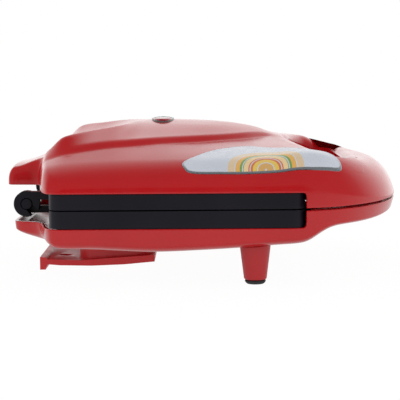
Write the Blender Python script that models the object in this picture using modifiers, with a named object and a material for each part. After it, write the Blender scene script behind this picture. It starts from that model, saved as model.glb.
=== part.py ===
"""A two-slice sandwich maker with a hinged lid and a loop handle, closed.

Metres, +Z up. The floor is z = 0, +X points from the hinge to the handle, and the hinge axis runs along Y.
Every piece is symmetric about the plane y = 0 or has a twin across it, apart from the label on the near side.
"""

import math

import bmesh
import bpy
import numpy as np
from mathutils import Matrix, Vector

# Overall sizes
half_length = 0.1251
half_width = 0.115
crown_height = 0.0954
split_height = 0.0471
split_gap = 0.0008
wall = 0.0026
gap = 0.0003
overrun = 0.004
join = 0.001
weld_distance = 0.000005

# Side windows, where the black frames show between the two red shells
upper_skirt = 0.0569
lower_rim = 0.0362
window_past_nose = 0.0094
tail_under = 0.055
tail_length = 0.0236

# Plan of the shells: the front is half an ellipse, the rear follows a curve of shares
nose_length = 0.0738
nose_centre = half_length - nose_length
window_front = nose_centre + window_past_nose
tail_root = -half_length + tail_length
rear_pole_share = -0.48
rear_pole = half_length * rear_pole_share
lid_rear_shares = (
    (-1.0, 0.0), (-1.0, 0.12), (-0.998, 0.205), (-0.984, 0.233), (-0.945, 0.240), (-0.887, 0.246),
    (-0.847, 0.258), (-0.826, 0.295), (-0.8145, 0.37), (-0.803, 0.52), (-0.788, 0.69), (-0.769, 0.85),
    (-0.749, 0.93), (-0.722, 0.981), (-0.679, 1.0),
)
base_rear_shares = (
    (-0.936, 0.0), (-0.938, 0.3), (-0.942, 0.49), (-0.934, 0.565), (-0.905, 0.603), (-0.84, 0.638),
    (-0.806, 0.675), (-0.790, 0.73), (-0.769, 0.85), (-0.749, 0.93), (-0.722, 0.981), (-0.679, 1.0),
)
rear_rounding = 0.005
side_rounding = 0.013
nose_rounding = 0.027
side_foot = 0.058
base_rear_rounding = 0.008
base_side_rounding = 0.014
base_nose_rounding = 0.012

# Lid surface: at each place along X, the height on the centre line, then the reach and the height of the
# crest of the scoop or crown, of the upper edge of the side band and of its lower edge, then the height of
# the shoulder at shoulder_share and at the side. Reaches are shares of half_width, heights of the lid's.
shoulder_share = 0.826
lid_surface_shares = (
    (-1.000, 0.410, 0.100, 0.405, 0.200, 0.385, 0.300, 0.370, 0.360, 0.350),
    (-0.930, 0.447, 0.100, 0.443, 0.200, 0.420, 0.300, 0.410, 0.400, 0.390),
    (-0.870, 0.484, 0.180, 0.480, 0.360, 0.470, 0.480, 0.470, 0.450, 0.400),
    (-0.823, 0.515, 0.478, 0.535, 0.660, 0.520, 0.713, 0.520, 0.485, 0.400),
    (-0.748, 0.590, 0.600, 0.690, 0.672, 0.620, 0.713, 0.572, 0.515, 0.415),
    (-0.673, 0.660, 0.613, 0.860, 0.678, 0.700, 0.713, 0.628, 0.550, 0.430),
    (-0.540, 0.781, 0.443, 0.918, 0.640, 0.770, 0.680, 0.680, 0.572, 0.440),
    (-0.448, 0.874, 0.391, 0.950, 0.615, 0.792, 0.656, 0.706, 0.580, 0.445),
    (-0.373, 0.950, 0.261, 0.973, 0.590, 0.803, 0.632, 0.716, 0.585, 0.450),
    (-0.317, 0.992, 0.122, 0.985, 0.570, 0.812, 0.613, 0.723, 0.588, 0.453),
    (-0.205, 1.000, 0.174, 0.973, 0.530, 0.824, 0.574, 0.743, 0.590, 0.455),
    (-0.013, 0.986, 0.174, 0.957, 0.450, 0.834, 0.491, 0.752, 0.595, 0.455),
    (0.131, 0.959, 0.139, 0.930, 0.355, 0.839, 0.396, 0.764, 0.600, 0.455),
    (0.227, 0.921, 0.096, 0.901, 0.262, 0.845, 0.304, 0.768, 0.605, 0.455),
    (0.307, 0.872, 0.052, 0.862, 0.145, 0.836, 0.191, 0.772, 0.610, 0.460),
    (0.355, 0.818, 0.035, 0.816, 0.090, 0.805, 0.139, 0.783, 0.615, 0.465),
    (0.403, 0.797, 0.174, 0.785, 0.261, 0.764, 0.348, 0.750, 0.650, 0.475),
    (0.483, 0.727, 0.174, 0.724, 0.391, 0.718, 0.600, 0.712, 0.668, 0.500),
    (0.560, 0.665, 0.174, 0.664, 0.391, 0.668, 0.600, 0.678, 0.658, 0.520),
    (0.675, 0.593, 0.174, 0.593, 0.391, 0.600, 0.600, 0.612, 0.605, 0.540),
    (0.787, 0.513, 0.174, 0.513, 0.391, 0.520, 0.600, 0.545, 0.550, 0.530),
    (0.870, 0.511, 0.174, 0.511, 0.391, 0.513, 0.600, 0.518, 0.520, 0.520),
    (1.000, 0.511, 0.174, 0.511, 0.391, 0.511, 0.600, 0.511, 0.511, 0.511),
)

# Underside of the base: at each place along X, the height in the middle and of the lower edge of the side,
# both shares of lower_rim
base_surface_shares = (
    (-0.942, 0.829, 0.870), (-0.829, 0.724, 0.840), (-0.751, 0.675, 0.825), (-0.594, 0.652, 0.800),
    (-0.437, 0.619, 0.762), (-0.220, 0.586, 0.732), (0.006, 0.613, 0.754), (0.157, 0.641, 0.779),
    (0.344, 0.688, 0.818), (0.457, 0.713, 0.837), (0.495, 0.732, 0.854), (0.532, 0.812, 0.917),
    (0.572, 0.898, 0.992), (0.611, 0.961, 1.044), (0.652, 0.983, 1.061), (0.783, 0.989, 1.075),
    (0.880, 1.000, 1.085), (1.0, 1.050, 1.119),
)

# Hand hole through both halves of the handle
hole_upper_shares = (
    (0.411, 0.0), (0.419, 0.191), (0.459, 0.365), (0.507, 0.557), (0.579, 0.696), (0.659, 0.730),
    (0.707, 0.678), (0.719, 0.522), (0.723, 0.0),
)
hole_lower_shares = (
    (0.511, 0.0), (0.511, 0.191), (0.511, 0.365), (0.517, 0.539), (0.579, 0.678), (0.659, 0.717),
    (0.699, 0.670), (0.708, 0.522), (0.712, 0.0),
)
hole_drop = 0.0079
hole_top = crown_height - hole_drop
liner_thickness = 0.0025
grip_depth = 0.0451
liner_rear = half_length - grip_depth
liner_top_share = 0.4845
liner_top = split_height + (crown_height - split_height) * liner_top_share
cover_thickness = 0.0018
cover_clearance = 0.0008
handle_root = window_front + wall

# Black plate frames
frame_rear_share = -0.7242
frame_rear = half_length * frame_rear_share
frame_end_clearance = 0.0004
frame_front = window_front - frame_end_clearance
frame_side_clearance = 0.0008
frame_half_width = half_width - frame_side_clearance
frame_corner = 0.008
spigot_inset = 0.0045
frame_seat = 0.0062
frame_ledge = 0.003
ear_thickness = 0.0025
ear_length = 0.010
ear_reach = 0.009

# Cooking plates, their pockets and what lies behind them
plate_thickness = 0.003
pocket_depth = 0.009
pocket_skin = 0.0025
pocket_clear_middle = 0.007
pocket_margin_side = 0.0135
pocket_margin_end = 0.0131
pocket_rib = 0.006
pocket_floor_share = 0.80
element_radius = 0.0031
element_inset = 0.007
element_corner = 0.010
terminal_half_spacing = 0.010
terminal_rise = 0.012
terminal_bend_share = 1.5
reflector_thickness = 0.001
boss_radius = 0.003
boss_spare = 0.002
rear_boss_inset = 0.0326
front_boss_inset = 0.0318
boss_places = (frame_rear + rear_boss_inset, frame_front - front_boss_inset)
pilot_radius = 0.0013

# Screws
screw_shank = 0.0011
screw_head = 0.0028
screw_head_height = 0.0017
screw_hole = 0.0016
rear_ear_inset = 0.0246
front_ear_inset = 0.0298
ear_screw_places = (frame_rear + rear_ear_inset, frame_front - front_ear_inset)
ear_side_inset = 0.0132
ear_screw_reach = frame_half_width - ear_side_inset
post_radius = 0.0034
cover_screw_inset = 0.0201
cover_screw_place = half_length - cover_screw_inset
cover_screw_reach = 0.045
screw_bite = 0.004

# Hinge
hinge_reach = 0.018
hinge_x = frame_rear - hinge_reach
hinge_drop = 0.0006
hinge_z = split_height - hinge_drop
hook_radius = 0.0080
hook_start = 0.058
hook_end = 0.065
lug_radius = 0.0062
lug_start = 0.050
lug_height = 0.0042
pin_radius = 0.0034
pin_head_radius = 0.0046
pin_head = 0.0015
bore_clearance = 0.00035
hook_slot = 0.0050
hook_slot_turn = 50.0
hook_arm_low = 0.0490
hook_arm_high = 0.0540

# Indicator on the crown
indicator_x = -0.0256
indicator_half_x = 0.00725
indicator_half_y = 0.021
bezel_wall = 0.0013
bezel_proud = 0.0010
lens_proud = 0.0006
bezel_depth = 0.0074
bezel_under = crown_height - bezel_depth
lens_depth = 0.0054
lens_under = crown_height - lens_depth
lamp_holder_depth = 0.009
lamp_radius = 0.0025
lamp_well = 0.0030
lamp_reach = 0.010
lamp_height = 0.0070

# Label on the near shoulder: plan points as shares of half_length and half_width
label_thickness = 0.0006
label_clearance = 0.0005
label_shares = (
    (-0.092, 0.870), (-0.085, 0.904), (-0.053, 0.935), (0.227, 0.935), (0.459, 0.926), (0.547, 0.904),
    (0.635, 0.857), (0.658, 0.822), (0.619, 0.783), (0.467, 0.713), (0.355, 0.609), (0.275, 0.570),
    (0.211, 0.561), (0.099, 0.635), (0.011, 0.730), (-0.045, 0.809),
)

# Feet
foot_x = 0.0314
foot_side_inset = 0.025
foot_y = half_width - foot_side_inset
foot_top_radius = 0.00975
foot_bottom_radius = 0.0068
pad_height = 0.0024
pad_radius = 0.0063
pad_bottom_radius = 0.0050
rear_pad_radius = 0.0065
rear_pad_bottom_radius = 0.0055

# Cord-wrap base: the bow of its underside and of its top as shares of its length and of the two heights
wrap_rear_inset = 0.0219
wrap_rear = -half_length + wrap_rear_inset
wrap_front = -0.0306
wrap_half_width = 0.045
rear_pad_inset = 0.0132
front_pad_inset = 0.0194
rear_pad_places = (wrap_rear + rear_pad_inset, wrap_front - front_pad_inset)
wrap_lip_height = 0.0104
wrap_lip = 0.0035
wrap_under = 0.0047
wrap_lip_under = 0.0025
wrap_bow_shares = ((0.18, 1.10), (0.45, 1.02), (0.73, 1.17), (1.0, 1.53))
wrap_top_shares = ((1.0, 1.10), (0.66, 0.94), (0.35, 0.80), (0.065, 0.87))
wrap_dish_top_share = 0.87
core_foot_share = 1.4
wrap_dish_inset = 0.0142
wrap_dish_x = wrap_rear + wrap_dish_inset
wrap_dish_y = 0.0215
wrap_dish_radius = 0.0042
wrap_dish_depth = 0.0012
core_rear_inset = 0.0242
core_front_inset = 0.0014
core_rear = wrap_rear + core_rear_inset
core_front = wrap_front - core_front_inset
core_half_width = 0.040
core_corner = 0.010
core_wall = 0.0025
core_floor = 0.0088
gland_radius = 0.0033
gland_flange = 0.0041
gland_flange_thickness = 0.0018
gland_length = 0.010
gland_bore = 0.0025
gland_height = 0.0130
wrap_screw_inset = 0.011
wrap_screw_places = (core_rear + wrap_screw_inset, core_front - wrap_screw_inset)
wrap_screw_y = 0.018

# Inner electrical pieces
thermostat_x = -0.015
thermostat_radius = 0.008
thermostat_height = 0.0075
thermostat_cap = 0.0022
fuse_x = -0.015
fuse_y = 0.035
fuse_radius = 0.0022
fuse_length = 0.018
terminal_block_x = -0.020
terminal_block_size = (0.030, 0.014, 0.0065)
terminal_ways = 3
terminal_way_radius = 0.002

round_sides = 24
small_sides = 8
inner_step_shares = (0.0, 0.26, 0.46, 0.63, 0.77, 0.89, 1.0)
border_step_shares = (0.6, 0.28, 0.09, 0.0)
coarse_inner_shares = (0.0, 0.4, 0.7, 1.0)
coarse_border_shares = (0.5, 0.15, 0.0)
border_most_share = 0.9
sharpest_turn_share = 0.5

upper_split = split_height + split_gap / 2
lower_split = split_height - split_gap / 2
lid_height = crown_height - split_height
nose_radius = half_length - nose_centre

collections = {}


def start():
    """Clears the scene and makes the collections for the parts and the cutters."""
    for item in list(bpy.data.objects):
        bpy.data.objects.remove(item)
    for name in ("sandwich_maker", "cutters"):
        collections[name] = bpy.data.collections.new(name)
        bpy.context.scene.collection.children.link(collections[name])


def material(name, colour, roughness, metallic=0.0):
    made = bpy.data.materials.new(name)
    made.use_nodes = True
    shader = made.node_tree.nodes["Principled BSDF"]
    shader.inputs["Base Color"].default_value = (*colour, 1.0)
    shader.inputs["Roughness"].default_value = roughness
    shader.inputs["Metallic"].default_value = metallic
    return made


def part(item, name, look):
    """Names a finished piece and files it with the parts."""
    item.name = name
    item.data.name = name
    item.data.materials.clear()
    item.data.materials.append(material(name, *look))
    collections["sandwich_maker"].objects.link(item)
    item.data.shade_smooth()
    item.data.set_sharp_from_angle(angle=math.radians(30.0))
    return item


def cutter(item):
    """Files a solid that only shapes others."""
    collections["cutters"].objects.link(item)
    item.hide_render = True
    item.display_type = "WIRE"
    return item


def combine(item, other, operation):
    """Adds a Boolean with a cutter, which may carry Booleans of its own."""
    if other.name not in collections["cutters"].objects:
        cutter(other)
    step = item.modifiers.new(operation.lower(), "BOOLEAN")
    step.operation = operation
    step.solver = "EXACT"
    step.object = other
    return item


def cut(item, *others):
    for other in others:
        combine(item, other, "DIFFERENCE")
    return item


def add(item, *others):
    for other in others:
        combine(item, other, "UNION")
    return item


def common(item, *others):
    for other in others:
        combine(item, other, "INTERSECT")
    return item


def face_outward(shape):
    """Points the faces of a closed shape outward."""
    bmesh.ops.recalc_face_normals(shape, faces=shape.faces)
    if shape.calc_volume(signed=True) < 0:
        bmesh.ops.reverse_faces(shape, faces=shape.faces)


def new_mesh_object(name, shape):
    mesh = bpy.data.meshes.new(name)
    shape.to_mesh(mesh)
    shape.free()
    return bpy.data.objects.new(name, mesh)


def box(x_range, y_range, z_range):
    low = Vector((x_range[0], y_range[0], z_range[0]))
    high = Vector((x_range[1], y_range[1], z_range[1]))
    shape = bmesh.new()
    place = Matrix.Translation((low + high) / 2) @ Matrix.Diagonal((*(high - low), 1.0))
    bmesh.ops.create_cube(shape, size=1.0, matrix=place)
    return new_mesh_object("box", shape)


def cylinder(radius, z_range, x=0.0, y=0.0, sides=round_sides, top_radius=None):
    low, high = z_range
    shape = bmesh.new()
    bmesh.ops.create_cone(
        shape, cap_ends=True, segments=sides, radius1=radius,
        radius2=radius if top_radius is None else top_radius, depth=high - low,
        matrix=Matrix.Translation((x, y, (low + high) / 2)),
    )
    return new_mesh_object("cylinder", shape)


def cross_cylinder(radius, y_range, x, z, sides=round_sides):
    """A cylinder whose axis runs along Y."""
    low, high = y_range
    shape = bmesh.new()
    place = Matrix.Translation((x, (low + high) / 2, z)) @ Matrix.Rotation(math.radians(90.0), 4, "X")
    bmesh.ops.create_cone(
        shape, cap_ends=True, segments=sides, radius1=radius, radius2=radius, depth=high - low, matrix=place,
    )
    return new_mesh_object("cross_cylinder", shape)


def turned(profile, sides=small_sides):
    """A turned solid: its profile of (radius, height) runs from the top of the axis to the bottom."""
    mesh = bpy.data.meshes.new("turned")
    points = [(radius, 0.0, height) for radius, height in profile]
    mesh.from_pydata(points, [(i, i + 1) for i in range(len(points) - 1)], [])
    item = bpy.data.objects.new("turned", mesh)
    spin = item.modifiers.new("spin", "SCREW")
    spin.steps = sides
    spin.render_steps = sides
    spin.use_merge_vertices = True
    spin.merge_threshold = weld_distance
    return item


def flat_piece(outline, z_range):
    """A flat solid from a closed outline of (x, y), made as a filled and extruded curve."""
    low, high = z_range
    curve = bpy.data.curves.new("outline", "CURVE")
    curve.dimensions = "2D"
    curve.fill_mode = "BOTH"
    curve.extrude = (high - low) / 2
    line = curve.splines.new("POLY")
    line.points.add(len(outline) - 1)
    for point, (x, y) in zip(line.points, outline):
        point.co = (x, y, 0.0, 1.0)
    line.use_cyclic_u = True
    drawn = bpy.data.objects.new("outline", curve)
    return as_mesh(drawn, Matrix.Translation((0.0, 0.0, (low + high) / 2)))


def as_mesh(drawn, place):
    """Turns a curve object into a mesh object with its caps welded, moved by place."""
    bpy.context.scene.collection.objects.link(drawn)
    bpy.context.view_layer.update()
    graph = bpy.context.evaluated_depsgraph_get()
    mesh = bpy.data.meshes.new_from_object(drawn.evaluated_get(graph))
    shape = bmesh.new()
    shape.from_mesh(mesh)
    bmesh.ops.remove_doubles(shape, verts=shape.verts, dist=weld_distance)
    bmesh.ops.transform(shape, matrix=place, verts=shape.verts)
    face_outward(shape)
    bpy.data.objects.remove(drawn)
    bpy.data.meshes.remove(mesh)
    return new_mesh_object("curve_mesh", shape)


def loft(rings):
    """A solid through closed rings of points, each as long as the others, from the bottom ring to the top."""
    shape = bmesh.new()
    rows = [[shape.verts.new(point) for point in ring] for ring in rings]
    count = len(rows[0])
    for lower, upper in zip(rows, rows[1:]):
        for i in range(count):
            j = (i + 1) % count
            shape.faces.new((lower[i], lower[j], upper[j], upper[i]))
    shape.faces.new(list(reversed(rows[0])))
    shape.faces.new(rows[-1])
    bmesh.ops.triangulate(shape, faces=shape.faces)
    face_outward(shape)
    return new_mesh_object("loft", shape)


def smooth_curve(points, steps, closed):
    """Points along a smooth curve through the given ones, with steps points for each stretch."""
    points = np.array(points, float)
    count = len(points)
    ends = count if closed else count - 1
    found = []
    for i in range(ends):
        if closed:
            a, b, c, d = (points[(i + k) % count] for k in (-1, 0, 1, 2))
        else:
            b, c = points[i], points[i + 1]
            a = points[i - 1] if i > 0 else 2 * b - c
            d = points[i + 2] if i + 2 < count else 2 * c - b
        for step in range(steps):
            t = step / steps
            found.append(
                b + (c - a) * t / 2 + (2 * a - 5 * b + 4 * c - d) * t**2 / 2 + (3 * b - a - 3 * c + d) * t**3 / 2
            )
    if not closed:
        found.append(points[-1])
    return np.array(found)


def offset_outline(outline, distance):
    """A closed, counter-clockwise outline moved outward by a distance."""
    outline = np.array(outline, float)
    ahead = np.roll(outline, -1, axis=0) - outline
    behind = outline - np.roll(outline, 1, axis=0)
    ahead /= np.linalg.norm(ahead, axis=1)[:, None]
    behind /= np.linalg.norm(behind, axis=1)[:, None]
    along = ahead + behind
    along /= np.linalg.norm(along, axis=1)[:, None]
    outward = np.stack([along[:, 1], -along[:, 0]], axis=1)
    spread = np.clip(np.sum(along * ahead, axis=1), sharpest_turn_share, 1.0)
    return outline + outward * (distance / spread)[:, None]


def rounded_rectangle(x_range, half_y, radius, steps=4):
    """A counter-clockwise outline of a rectangle with round corners."""
    (rear, front), points = x_range, []
    corners = ((front, -half_y, -90.0), (front, half_y, 0.0), (rear, half_y, 90.0), (rear, -half_y, 180.0))
    for x, y, start_angle in corners:
        centre_x = x - math.copysign(radius, x - (rear + front) / 2)
        centre_y = y - math.copysign(radius, y)
        for step in range(steps + 1):
            angle = math.radians(start_angle + 90.0 * step / steps)
            points.append((centre_x + radius * math.cos(angle), centre_y + radius * math.sin(angle)))
    return points


def smooth_step(value):
    value = np.clip(value, 0.0, 1.0)
    return value * value * (3 - 2 * value)


def curve_slopes(places, values):
    """Slopes at the knots of a smooth curve that never overshoots them; rows of knots along the last axis."""
    width = np.diff(places)
    rise = np.diff(values) / width
    slopes = np.zeros_like(values)
    before, after = rise[..., :-1], rise[..., 1:]
    first = 2 * width[..., 1:] + width[..., :-1]
    second = width[..., 1:] + 2 * width[..., :-1]
    same = before * after > 0
    safe_before = np.where(same, before, 1.0)
    safe_after = np.where(same, after, 1.0)
    slopes[..., 1:-1] = np.where(same, (first + second) / (first / safe_before + second / safe_after), 0.0)
    slopes[..., 0] = rise[..., 0]
    slopes[..., -1] = rise[..., -1]
    return slopes


def follow(where, places, values, level_start=False):
    """Heights at where along a smooth curve through knots. Each row of places and values has its own where."""
    slopes = curve_slopes(places, values)
    if level_start:
        slopes[..., 0] = 0.0
    where = np.clip(where, places[..., 0], places[..., -1])
    index = np.clip((places <= where[..., None]).sum(axis=-1) - 1, 0, places.shape[-1] - 2)[..., None]
    start, end, low, high, out, into = (
        np.take_along_axis(rows, index + step, axis=-1)[..., 0]
        for rows, step in ((places, 0), (places, 1), (values, 0), (values, 1), (slopes, 0), (slopes, 1))
    )
    span = end - start
    t = (where - start) / span
    return (
        low * (2 * t**3 - 3 * t**2 + 1) + high * (3 * t**2 - 2 * t**3)
        + span * (out * (t**3 - 2 * t**2 + t) + into * (t**3 - t**2))
    )


def column(table, x, number):
    """One column of a table of shares, read at each x."""
    rows = np.array(table)
    places = np.broadcast_to(rows[:, 0] * half_length, (len(x), len(rows)))
    values = np.broadcast_to(rows[:, number], (len(x), len(rows)))
    return follow(x, places, values)


def lid_surface(x, y):
    """Height of the lid's upper surface, before its border is rounded."""
    y = np.abs(y)
    read = [column(lid_surface_shares, x, number) for number in range(1, 10)]
    centre, crest_y, crest, upper_y, upper, lower_y, lower, shoulder, side = read
    zero = np.zeros_like(x)
    inner_places = np.stack([zero, crest_y, upper_y, lower_y], axis=1) * half_width
    inner = follow(y, inner_places, np.stack([centre, crest, upper, lower], axis=1), level_start=True)
    outer_places = np.stack([lower_y, zero + shoulder_share, zero + 1.0], axis=1) * half_width
    outer = follow(y, outer_places, np.stack([lower, shoulder, side], axis=1))
    share = np.where(y < lower_y * half_width, inner, outer)
    return split_height + share * lid_height


def base_surface(x, y):
    """Height of the base's underside, before its border is rounded."""
    return column(base_surface_shares, x, 1) * lower_rim + 0.0 * y


def outline_with_border(rear_shares, nose_steps, side_steps, upper):
    """Half the plan of a shell from the rear to the nose: x, y, width of the rounding, height of its foot."""
    rear = np.array(rear_shares) * (half_length, half_width)
    side_x = np.linspace(rear[-1, 0], nose_centre, side_steps + 1)[1:]
    side = np.stack([side_x, np.full(side_steps, half_width)], axis=1)
    angle = np.linspace(0.0, math.pi / 2, nose_steps + 1)[1:]
    nose = np.stack([nose_centre + nose_radius * np.sin(angle), half_width * np.cos(angle)], axis=1)
    nose[-1, 1] = 0.0
    plan = np.concatenate([rear, side, nose])
    x, y = plan.T
    forward = np.clip((x - nose_centre) / nose_radius, 0.0, 1.0)
    if upper:
        rounding = side_rounding + (nose_rounding - side_rounding) * forward**2
        rounding -= (side_rounding - rear_rounding) * rearward_share(x, rear[-1, 0])
        onward = smooth_step((x - window_front) / (half_length - window_front))
        foot = side_foot + (upper_split - side_foot) * onward
    else:
        rounding = base_side_rounding + (base_nose_rounding - base_side_rounding) * smooth_step(forward * 2)
        rounding -= (base_side_rounding - base_rear_rounding) * rearward_share(x, rear[-1, 0])
        foot = column(base_surface_shares, x, 2) * lower_rim
    return np.stack([x, y, rounding, foot], axis=1)


def rearward_share(x, corner_x):
    """0 along the sides, 1 from the rear corner back."""
    return smooth_step((rear_pole - x) / (rear_pole - corner_x - rear_rounding))


def inset_border(border, inset):
    """The same half plan drawn inward by a distance, or outward where it is negative."""
    plan = border[:, :2]
    whole = np.concatenate([plan, (plan * (1, -1))[-2:0:-1]])
    moved = offset_outline(whole[::-1], -inset)[::-1][: len(plan)]
    moved[0, 1] = 0.0
    moved[-1, 1] = 0.0
    rounding = np.maximum(border[:, 2] - inset, rear_rounding / 2)
    return np.column_stack([moved, rounding, border[:, 3]])


def border_distance(points, border):
    """Distance of plan points to the border, with the rounding and the foot at the nearest place on it."""
    start, end = border[:-1], border[1:]
    along = end[:, :2] - start[:, :2]
    relative = points[:, None, :] - start[None, :, :2]
    t = np.clip((relative * along).sum(axis=2) / (along**2).sum(axis=1), 0.0, 1.0)
    distance = np.linalg.norm(relative - t[:, :, None] * along, axis=2)
    nearest = distance.argmin(axis=1)
    rows = np.arange(len(points))
    t = t[rows, nearest][:, None]
    values = start[nearest, 2:] * (1 - t) + end[nearest, 2:] * t
    return distance[rows, nearest], values[:, 0], values[:, 1]


def rounded_height(points, border, surface, lift):
    """Height of a shell at plan points, its border rolled over in a quarter of an ellipse."""
    x, y = points.T
    distance, rounding, foot = border_distance(points, border)
    roll = np.sqrt(1 - (1 - np.minimum(distance / rounding, 1.0)) ** 2)
    return foot + (surface(x, y) + lift - foot) * roll


def shell_solid(border, surface, lift, cap, upper, coarse=False):
    """A closed solid under (or over) a shell surface, down (or up) to the flat level cap."""
    inner_shares = coarse_inner_shares if coarse else inner_step_shares
    border_shares = coarse_border_shares if coarse else border_step_shares
    shape = bmesh.new()
    rows = []
    for x, y, rounding, foot in border:
        pole = np.array([min(max(x, rear_pole), nose_centre), 0.0])
        edge = np.array([x, y])
        reach = np.linalg.norm(edge - pole)
        lead = min(rounding / reach, border_most_share)
        steps = [share * (1 - lead) for share in inner_shares]
        steps += [1 - share * lead for share in border_shares]
        plan = pole + (edge - pole) * np.array(steps)[:, None]
        plan[-1] = edge
        height = rounded_height(plan, border, surface, lift)
        height[-1] = foot
        rows.append([shape.verts.new((*place, z)) for place, z in zip(plan, height)])
        rows[-1].append(shape.verts.new((x, y, cap)))
    for row, after in zip(rows, rows[1:]):
        for k in range(len(row) - 1):
            corners = (row[k], after[k], after[k + 1], row[k + 1])
            shape.faces.new(corners if upper else tuple(reversed(corners)))
    last = [row[-1] for row in rows]
    shape.faces.new(last if upper else list(reversed(last)))
    bmesh.ops.remove_doubles(shape, verts=shape.verts, dist=weld_distance)
    bmesh.ops.triangulate(shape, faces=shape.faces)
    item = new_mesh_object("shell", shape)
    mirror = item.modifiers.new("mirror", "MIRROR")
    mirror.use_axis = (False, True, False)
    mirror.merge_threshold = weld_distance
    return item


def lid_border(inset=0.0, coarse=False):
    border = outline_with_border(lid_rear_shares, 6 if coarse else 10, 3 if coarse else 6, upper=True)
    return inset_border(border, inset) if inset else border


def base_border(inset=0.0, coarse=False):
    border = outline_with_border(base_rear_shares, 6 if coarse else 10, 3 if coarse else 6, upper=False)
    return inset_border(border, inset) if inset else border


def lid_solid(inset=0.0, cap=upper_split, coarse=False):
    """The lid's outer form, drawn in by inset on every side; a negative inset swells it."""
    return shell_solid(lid_border(inset, coarse), lid_surface, -inset, cap, upper=True, coarse=coarse)


def base_solid(inset=0.0, cap=lower_split, coarse=False):
    return shell_solid(base_border(inset, coarse), base_surface, inset, cap, upper=False, coarse=coarse)


def hole_ring(shares, z, grow=0.0):
    """A closed ring round the hand hole at a height."""
    half = np.array(shares) * (half_length, half_width)
    whole = np.concatenate([half, (half * (1, -1))[-2:0:-1]])
    ring = smooth_curve(whole, 2, closed=True)
    ring = offset_outline(ring[::-1], grow)
    return [Vector((x, y, z)) for x, y in ring]


def hole_core(grow, low, high):
    """The space of the hand hole from low to high, grown by a distance all round."""
    upper_half = np.array(hole_upper_shares)
    lower_half = np.array(hole_lower_shares)
    rings = []
    for z in (low, split_height, hole_top, high):
        if z < low or z > high:
            continue
        share = min(max((z - split_height) / (hole_top - split_height), 0.0), 1.0)
        rings.append(hole_ring(upper_half * share + lower_half * (1 - share), z, grow))
    return loft(rings)


def height_under_lid(x, y):
    """Height of the lid's inner surface over a place."""
    point = np.array([[x, abs(y)]])
    return float(rounded_height(point, lid_border(wall), lid_surface, -wall)[0])


def height_over_base(x, y):
    """Height of the base's inner surface under a place."""
    point = np.array([[x, abs(y)]])
    return float(rounded_height(point, base_border(wall), base_surface, wall)[0])


def levels(upper):
    """Heights of the stack behind a cooking plate, from the split outward, for the lid or the base."""
    sign = 1 if upper else -1
    face = upper_split if upper else lower_split
    back = face + sign * plate_thickness
    element = back + sign * (gap + element_radius)
    pocket_back = face + sign * (pocket_depth + pocket_skin)
    reflector = pocket_back + sign * 2 * gap
    reflector_back = reflector + sign * reflector_thickness
    ear = reflector_back + sign * gap
    ear_back = ear + sign * ear_thickness
    return {
        "sign": sign, "face": face, "back": back, "element": element, "pocket_back": pocket_back,
        "reflector": reflector, "reflector_back": reflector_back, "ear": ear, "ear_back": ear_back,
    }


def span(first, second):
    return (min(first, second), max(first, second))


def through(first, second):
    """A range that passes both levels by the overrun."""
    return (min(first, second) - overrun, max(first, second) + overrun)


def both_sides():
    return (("left", -1), ("right", 1))


def ear_screw_spots():
    return [(x, side * ear_screw_reach) for x in ear_screw_places for _, side in both_sides()]


def add_ear_posts(housing, upper):
    """Adds the posts that the frame's ears are screwed to, with their pilot holes."""
    stack = levels(upper)
    sign = stack["sign"]
    for x, y in ear_screw_spots():
        shell = height_under_lid(x, y) if upper else height_over_base(x, y)
        foot = stack["ear_back"] + sign * gap
        add(housing, cylinder(post_radius, span(foot, shell + sign * wall / 2), x, y, small_sides))
        pilot = span(foot - sign * join, foot + sign * (screw_bite + gap))
        cut(housing, cylinder(pilot_radius, pilot, x, y, small_sides))


def add_cover_posts(housing, upper):
    """Adds the two posts in the handle bar that its cover is screwed to."""
    sign = 1 if upper else -1
    face = upper_split if upper else lower_split
    foot = face + sign * (cover_thickness + gap)
    for _, side in both_sides():
        y = side * cover_screw_reach
        shell = height_under_lid(cover_screw_place, y) if upper else height_over_base(cover_screw_place, y)
        post = span(foot, shell + sign * wall / 2)
        add(housing, cylinder(post_radius, post, cover_screw_place, y, small_sides))
        pilot = span(foot - sign * join, foot + sign * (screw_bite / 2 + gap))
        cut(housing, cylinder(pilot_radius, pilot, cover_screw_place, y, small_sides))


def wide_range():
    return (-half_width - overrun, half_width + overrun)


def upper_housing(look):
    housing = lid_solid()
    cavity = lid_solid(wall, upper_split - overrun, coarse=True)
    liner_space = liner_thickness + gap + wall
    cut(cavity, hole_core(wall, upper_split - 2 * overrun, crown_height + overrun))
    bar = (split_height - 3 * overrun, crown_height + 2 * overrun)
    cut(cavity, common(
        hole_core(liner_space, upper_split - 2 * overrun, crown_height + overrun),
        box((handle_root - join, half_length), wide_range(), bar),
    ))
    root = (window_front - gap, handle_root)
    cut(cavity, box(root, wide_range(), (split_height - 3 * overrun, crown_height)))
    cut(housing, cavity)
    cut(housing, box((tail_root, window_front), wide_range(), (split_height - overrun, upper_skirt)))
    tail = (-half_length - overrun, tail_root + join)
    cut(housing, box(tail, wide_range(), (split_height - overrun, tail_under)))
    cut(housing, hole_core(0.0, upper_split - overrun, crown_height + overrun))
    cut(housing, common(
        hole_core(liner_thickness + gap, upper_split - overrun, crown_height + overrun),
        box((liner_rear - gap, half_length), wide_range(), (split_height - 2 * overrun, liner_top + gap)),
    ))
    cut(housing, flat_piece(indicator_outline(gap), (bezel_under - overrun, crown_height + overrun)))
    add_ear_posts(housing, True)
    add_cover_posts(housing, True)
    return part(housing, "upper_housing", look)


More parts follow.
